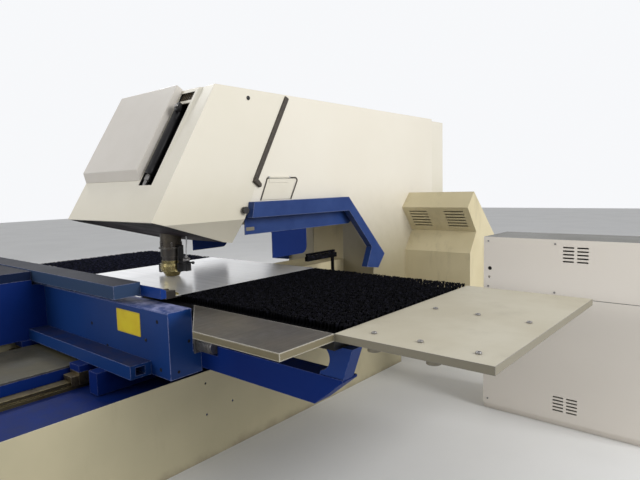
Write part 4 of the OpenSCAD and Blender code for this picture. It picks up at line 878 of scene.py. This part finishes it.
def windowGrille(look):
    # Brownish window above the bar, with upright ribs at even steps
    parts = [frontPrism(rectangle(*look["pane"]), 2, *look["rise"])]
    near, far = look["ribDepth"]
    half = look["ribHalf"]
    for x in np.linspace(*look["ribs"]):
        parts.append(frontPrism(rectangle(x - half, near, x + half, far), 2, *look["ribRise"]))
    addPiece("windowGrille", parts, "windowBrown", "machine", smooth=False)


windowGrille(windowLook)
print("head made")

underLook = {
    "drop": 0.0004, "thick": 0.0012, "hole": (0.0762, 1.0, 1.45), "low": (0.180, 1.205),
    "corners": [(-0.530, -0.466), (0.530, -0.466), (0.536, -0.404), (0.372, 0.176), (-0.372, 0.176),
                (-0.536, -0.404)],
}


def underside(look, lip):
    # Dark lining on the belly's sloping underside, painted shade: z = lip z + (y - lip y) * slope - drop,
    # with a round hole for the ram guide
    slope = (look["low"][1] - lip[1]) / (look["low"][0] - lip[0])
    spots, faces = prism(look["corners"], 2, -look["thick"] - look["drop"], -look["drop"])
    spots[:, 2] += lip[1] + (spots[:, 1] - lip[0]) * slope
    lining = combined(solid((spots, faces)), pillar(*look["hole"]), "DIFFERENCE")
    finished(lining, "headUnderside", "underShade")


underside(underLook, headLook["lip"])

# Tool guards, oil pipe and lever

guardLook = {
    # Each guard: inner x, width, low and high; strap and foot: x from the inner face outwards
    "guards": [(0.098, 0.026, 0.998, 1.062), (-0.104, 0.030, 0.976, 1.040)], "y": (-0.028, 0.028),
    "strapX": (0.003, 0.015), "footX": (-0.028, 0.016), "strapY": (-0.016, 0.028), "strapTop": 1.186,
    "sunk": 0.001, "footThick": 0.014, "footRim": (0.003, 0.002), "rim": (0.004, 0.003),
    "arm": ((0.116, 0.204), (-0.020, 0.012), (1.0645, 1.0825)),
    "post": ((0.177, 0.211), (-0.026, 0.018), (1.010, 1.066)),
    "fitting": (0.186, -0.004, 1.082), "lever": (0.203, -0.006, 1.0735),
    "pipeRadius": 0.0045, "pipeLow": 0.034, "pipeRise": 0.142, "pipeSway": 0.012, "pipeSteps": 14,
}
fittingProfile = [(0, 0), (0.024, 0), (0.026, 0.003), (0.026, 0.016), (0.020, 0.021), (0.012, 0.022),
                  (0.012, 0.034), (0.008, 0.036), (0, 0.036)]
leverProfile = [(0, 0), (0.0055, 0), (0.0055, 0.044), (0.004, 0.045), (0.004, 0.052), (0.0095, 0.056),
                (0.011, 0.062), (0.0095, 0.068), (0.004, 0.071), (0, 0.071)]


def toolGuards(look):
    # A guard, its strap and the strap's foot on each side, then the arm to a post at the right
    top, sunk = look["strapTop"], look["sunk"]
    parts = []
    for face, width, low, high in look["guards"]:
        side = math.copysign(1, face)
        ranges = ((0, width), look["strapX"], look["footX"])
        guard, strap, foot = [sorted(face + side * v for v in pair) for pair in ranges]
        parts += [block(guard, look["y"], (low, high), *look["rim"]),
                  block(strap, look["strapY"], (high - sunk, top + sunk)),
                  block(foot, look["strapY"], (top - look["footThick"], top), *look["footRim"])]
    parts += [block(*look["arm"], *look["rim"]), block(*look["post"], *look["rim"])]
    addPiece("toolGuards", parts, "black", "machine", replaces=["head_side_blocks"])


def oilPipe(look):
    # Turned fitting and lever, and a pipe whose x sways by the square of a quarter sine as it rises
    spots, faces = revolved(fittingProfile, 20)
    addPiece("pipeFitting", [(spots + look["fitting"], faces)], "steelDull", "machine")
    spots, faces = revolved(leverProfile, 14)
    lever = faced(spots, look["lever"], (0, 1, 0), (0, 0, 1))
    addPiece("guardLever", [(lever, faces)], "black", "machine")
    x, y, z = look["fitting"]
    share = np.linspace(0, 1, look["pipeSteps"])
    path = np.column_stack([x + look["pipeSway"] * np.sin(share * np.pi / 2) ** 2, np.full(len(share), y),
                            z + look["pipeLow"] + look["pipeRise"] * share])
    pipe = carried(ring(look["pipeRadius"], 10), path, (0.31, 0.95, 0.05))
    addPiece("oilPipe", [pipe], "hose", "machine", replaces=["oil_pipe"])


toolGuards(guardLook)
oilPipe(guardLook)

# Strip brush at the throat

rearLook = {
    "x": (0.400, 0.434), "y": (1.005, 1.390), "z": (0.965, 1.003), "tip": 1.031, "pitch": 0.0175,
    "post": (1.335, 1.360), "postX": (0.407, 0.427), "wall": 0.190, "foot": 0.820, "thick": 0.020,
    "overlap": 0.001, "rowIn": 0.0095, "firstIn": 0.010, "lastIn": 0.008, "sunk": 0.0005,
    "footRadius": 0.0045, "topRadius": 0.0085,
}


def rearBrush(look):
    # Level bar along Y with two rows of tufts, on a post and a foot that come from the frame
    (x0, x1), (y0, y1), (z0, z1) = look["x"], look["y"], look["z"]
    foot, over, postY = look["foot"], look["overlap"], look["post"]
    parts = [block(look["x"], look["y"], look["z"]), block(look["postX"], postY, (foot, z0 + over)),
             block((look["wall"], look["postX"][0] + over), postY, (foot, foot + look["thick"]))]
    spots, quads, fan = tuft({**brushLook, "foot": z1, "base": 0.0, "tip": look["tip"],
                              "footRadius": look["footRadius"], "topRadius": look["topRadius"]})
    rows = [(x, y, z1 - look["sunk"]) for x in (x0 + look["rowIn"], x1 - look["rowIn"])
            for y in np.arange(y0 + look["firstIn"], y1 - look["lastIn"], look["pitch"])]
    every, walls = repeated(spots, quads, rows)
    parts.append((every, walls.tolist() + shifted(fan, len(rows), len(spots)).tolist()))
    addPiece("rearTufts", parts, "fibre", "machine", smooth=False, replaces=["rear_brush"])


rearBrush(rearLook)

# Hood trim

hoodSide = 0.5404
stripLook = {
    "low": (0.352, 1.632), "high": (0.700, 2.240), "half": 0.021, "out": 0.013,
    "section": [(-1, 0), (-1, 0.45), (-0.72, 0.9), (0, 1), (0.72, 0.9), (1, 0.45), (1, 0)],
    "cap": [(-0.018, -0.020), (0.052, -0.020), (0.060, -0.008), (0.052, 0.010), (-0.018, 0.022)],
    "capThick": 0.024, "capBevel": 0.004, "capDown": (0, 0.80, -0.60), "capUp": (0, 0.60, 0.80),
}


def jointStrips(look):
    # Rounded strip section carried up the joint line, and a cap turned across its foot
    section = np.array(look["section"]) * [look["half"], look["out"]]
    foot, top = (hoodSide, *look["low"]), (hoodSide, *look["high"])
    spots, faces = slab(look["cap"], look["capThick"], look["capBevel"])
    shapes = [carried(section, [foot, top], (1.0, 0, 0)),
              (faced(spots, foot, look["capDown"], look["capUp"]), faces)]
    parts = [(spots * [side, 1, 1], faces) for side in (-1, 1) for spots, faces in shapes]
    addPiece("jointStrips", parts, "rubber", "machine", replaces=["hood_joint_strips"])


jointStrips(stripLook)

doorTrimLook = {
    "low": 1.492, "high": 1.652, "front": 0.398, "rear": 0.710, "lean": 0.443, "round": 0.022, "x": 0.5428,
    "half": 0.0055, "out": 0.005, "frontIn": 0.25, "rearIn": 0.75,
    "section": [(-1, -0.4), (1, -0.4), (1, 0.5), (0.6, 1), (-0.6, 1), (-1, 0.5)],
}


def doorTrim(look):
    # Dark edging on three sides of the door: up the front, round two corners, down the rear
    lift = (look["high"] - look["low"]) * look["lean"]
    turn = np.linspace(0, np.pi / 2, 6)
    r, low = look["round"], look["low"]
    frontY = look["front"] + lift - r * look["frontIn"]
    rearY = look["rear"] + lift - r * look["rearIn"]
    level = look["high"] - r
    front = np.column_stack([frontY + r * (1 - np.cos(turn)), level + r * np.sin(turn)])
    rear = np.column_stack([rearY + r * np.sin(turn), level + r * np.cos(turn)])
    path = np.concatenate([[[look["front"], low]], front, rear, [[look["rear"], low]]])
    section = np.array(look["section"]) * [look["half"], look["out"] / 2]
    trim = carried(section, np.insert(path, 0, look["x"], axis=1), (1.0, 0, 0))
    addPiece("doorTrim", [trim], "rubber", "machine")


doorTrim(doorTrimLook)

# Screws, plugs and holes

screwProfile = [(0, 0.0), (1, 0.0), (1, 0.45), (0.86, 0.62), (0.52, 0.62), (0.46, 0.22), (0, 0.22)]
holeProfile = [(0, 0.0), (1, 0.0), (1, 0.04), (0.86, 0.10), (0.80, 0.03), (0, 0.03)]
plugProfile = [(0, 0.0), (1, 0.0), (1, 0.20), (0.85, 0.42), (0.45, 0.55), (0, 0.58)]
faceAxes = {"+x": ((0, 1, 0), (0, 0, 1)), "-y": ((1, 0, 0), (0, 0, 1)), "+z": ((1, 0, 0), (0, 1, 0))}
tableTop, beamFace, beamEnd, cabinetFace = 0.9384, -0.6204, 0.8604, 1.2496
places = {
    "extensionBolts": [(x, y, tableTop) for x, y in (
        (2.03, -0.36), (2.255, -0.357), (2.03, 0.195), (2.258, 0.194), (2.505, -0.362), (2.507, 0.184))],
    "beamFaceHoles": [(x, beamFace, z) for x, z in (
        (-0.007, 0.736), (0.755, 0.855), (0.767, 0.584), (0.180, 0.620))],
    "beamFacePlug": [(0.631, beamFace, 0.732)],
    "beamEndHoles": [(beamEnd, -0.491, 0.734), (beamEnd, -0.567, 0.577)],
    "headPlug": [(hoodSide, 0.317, 2.199)],
    "cabinetScrews": [(x, cabinetFace, z) for x in (1.868, 2.30, 2.868) for z in (0.872, 1.182)] + [
        (x, cabinetFace, z) for x in (1.868, 2.868) for z in (0.075, 0.818)],
    "cabinetHole": [(1.879, cabinetFace, 0.996)],
}


def studs(name, profile, radius, face, finish, body, sides=14):
    # The same turned profile on one face, at each of its places
    spots, faces = revolved(np.array(profile) * radius, sides)
    turned = faced(spots, (0, 0, 0), *faceAxes[face])
    addPiece(name, [repeated(turned, faces, places[name])], finish, body)


studs("extensionBolts", screwProfile, 0.0125, "+z", "steelDull", "carriage")
# Black discs for holes, painted shade inside them
studs("beamFaceHoles", holeProfile, 0.0115, "-y", "hole", "carriage")
studs("beamFacePlug", plugProfile, 0.010, "-y", "black", "carriage")
studs("beamEndHoles", holeProfile, 0.0095, "+x", "hole", "carriage")
studs("headPlug", plugProfile, 0.015, "+x", "black", "machine")
studs("cabinetScrews", screwProfile, 0.0065, "-y", "steelDull", "machine", sides=10)
# Black disc for a hole, painted shade inside it
studs("cabinetHole", holeProfile, 0.013, "-y", "hole", "machine")

plateLook = {"half": (0.039, 0.013), "place": (0.5006, 0.325, 1.292), "cut": 0.004, "thick": 0.002,
             "bevel": 0.0005}


def skirtPlate(look):
    # Small bare plate with cut corners on the skirt
    w, h = look["half"]
    spots, faces = slab(cutCorners((-w, w), (-h, h), look["cut"]), look["thick"], look["bevel"])
    plate = faced(spots, look["place"], (0, 1, 0), (0, 0, 1))
    addPiece("skirtPlate", [(plate, faces)], "wornCream", "machine")


skirtPlate(plateLook)

bandProfile = [(0.0795, 1.024), (0.0812, 1.026), (0.0812, 1.040), (0.0800, 1.043), (0.0806, 1.046),
               (0.0806, 1.050), (0.0795, 1.052)]


def holderRing(profile, sides):
    # Bright ring around the tool holder: a profile turned about the punch's axis, its last row
    # joined to its first
    spots, _ = revolved(profile, sides)
    faces = gridFaces(len(profile) + 1, sides) % len(spots)
    addPiece("holderRing", [(spots, faces)], "bronze", "tool_spindle_body")


holderRing(bandProfile, 48)
print("trim and screws made")

# Floor and surroundings

floorLook = {"half": 30.0, "colour": (0.80, 0.80, 0.79), "patch": (0.76, 0.76, 0.75), "rough": 0.6}
far = floorLook["half"]
floorCorners = [(x, y, 0) for x, y in rectangle(-far, -far, far, far)]
floor = linked("floor", meshOf("floor", [(floorCorners, [range(4)])]))
floorFinish = Finish("floorFinish")
patches = floorFinish.step(floorFinish.noise(0.8, 4), 0.3, 0.7)
floorFinish.shade(colour=floorFinish.blend(patches, floorLook["colour"], floorLook["patch"]),
                  rough=floorLook["rough"])
floor.data.materials.append(floorFinish.material)

sky = {"light": 0.45, "seen": 1.0, "colour": (0.93, 0.94, 0.96)}
world = bpy.data.worlds.new("room")
bpy.context.scene.world = world
world.use_nodes = True
room = Nodes(world.node_tree)
room.tree.nodes.clear()
toCamera = room.node("ShaderNodeLightPath", out="Is Camera Ray")
toMirror = room.node("ShaderNodeLightPath", out="Is Glossy Ray")
seen = room.node("ShaderNodeMath", {"operation": "MAXIMUM"}, {0: toCamera, 1: toMirror})
strength = room.node("ShaderNodeMapRange", {}, {0: seen, 3: sky["light"], 4: sky["seen"]})
background = room.node("ShaderNodeBackground", {}, {"Color": sky["colour"], "Strength": strength})
room.node("ShaderNodeOutputWorld", {}, {"Surface": background})
print("room made")
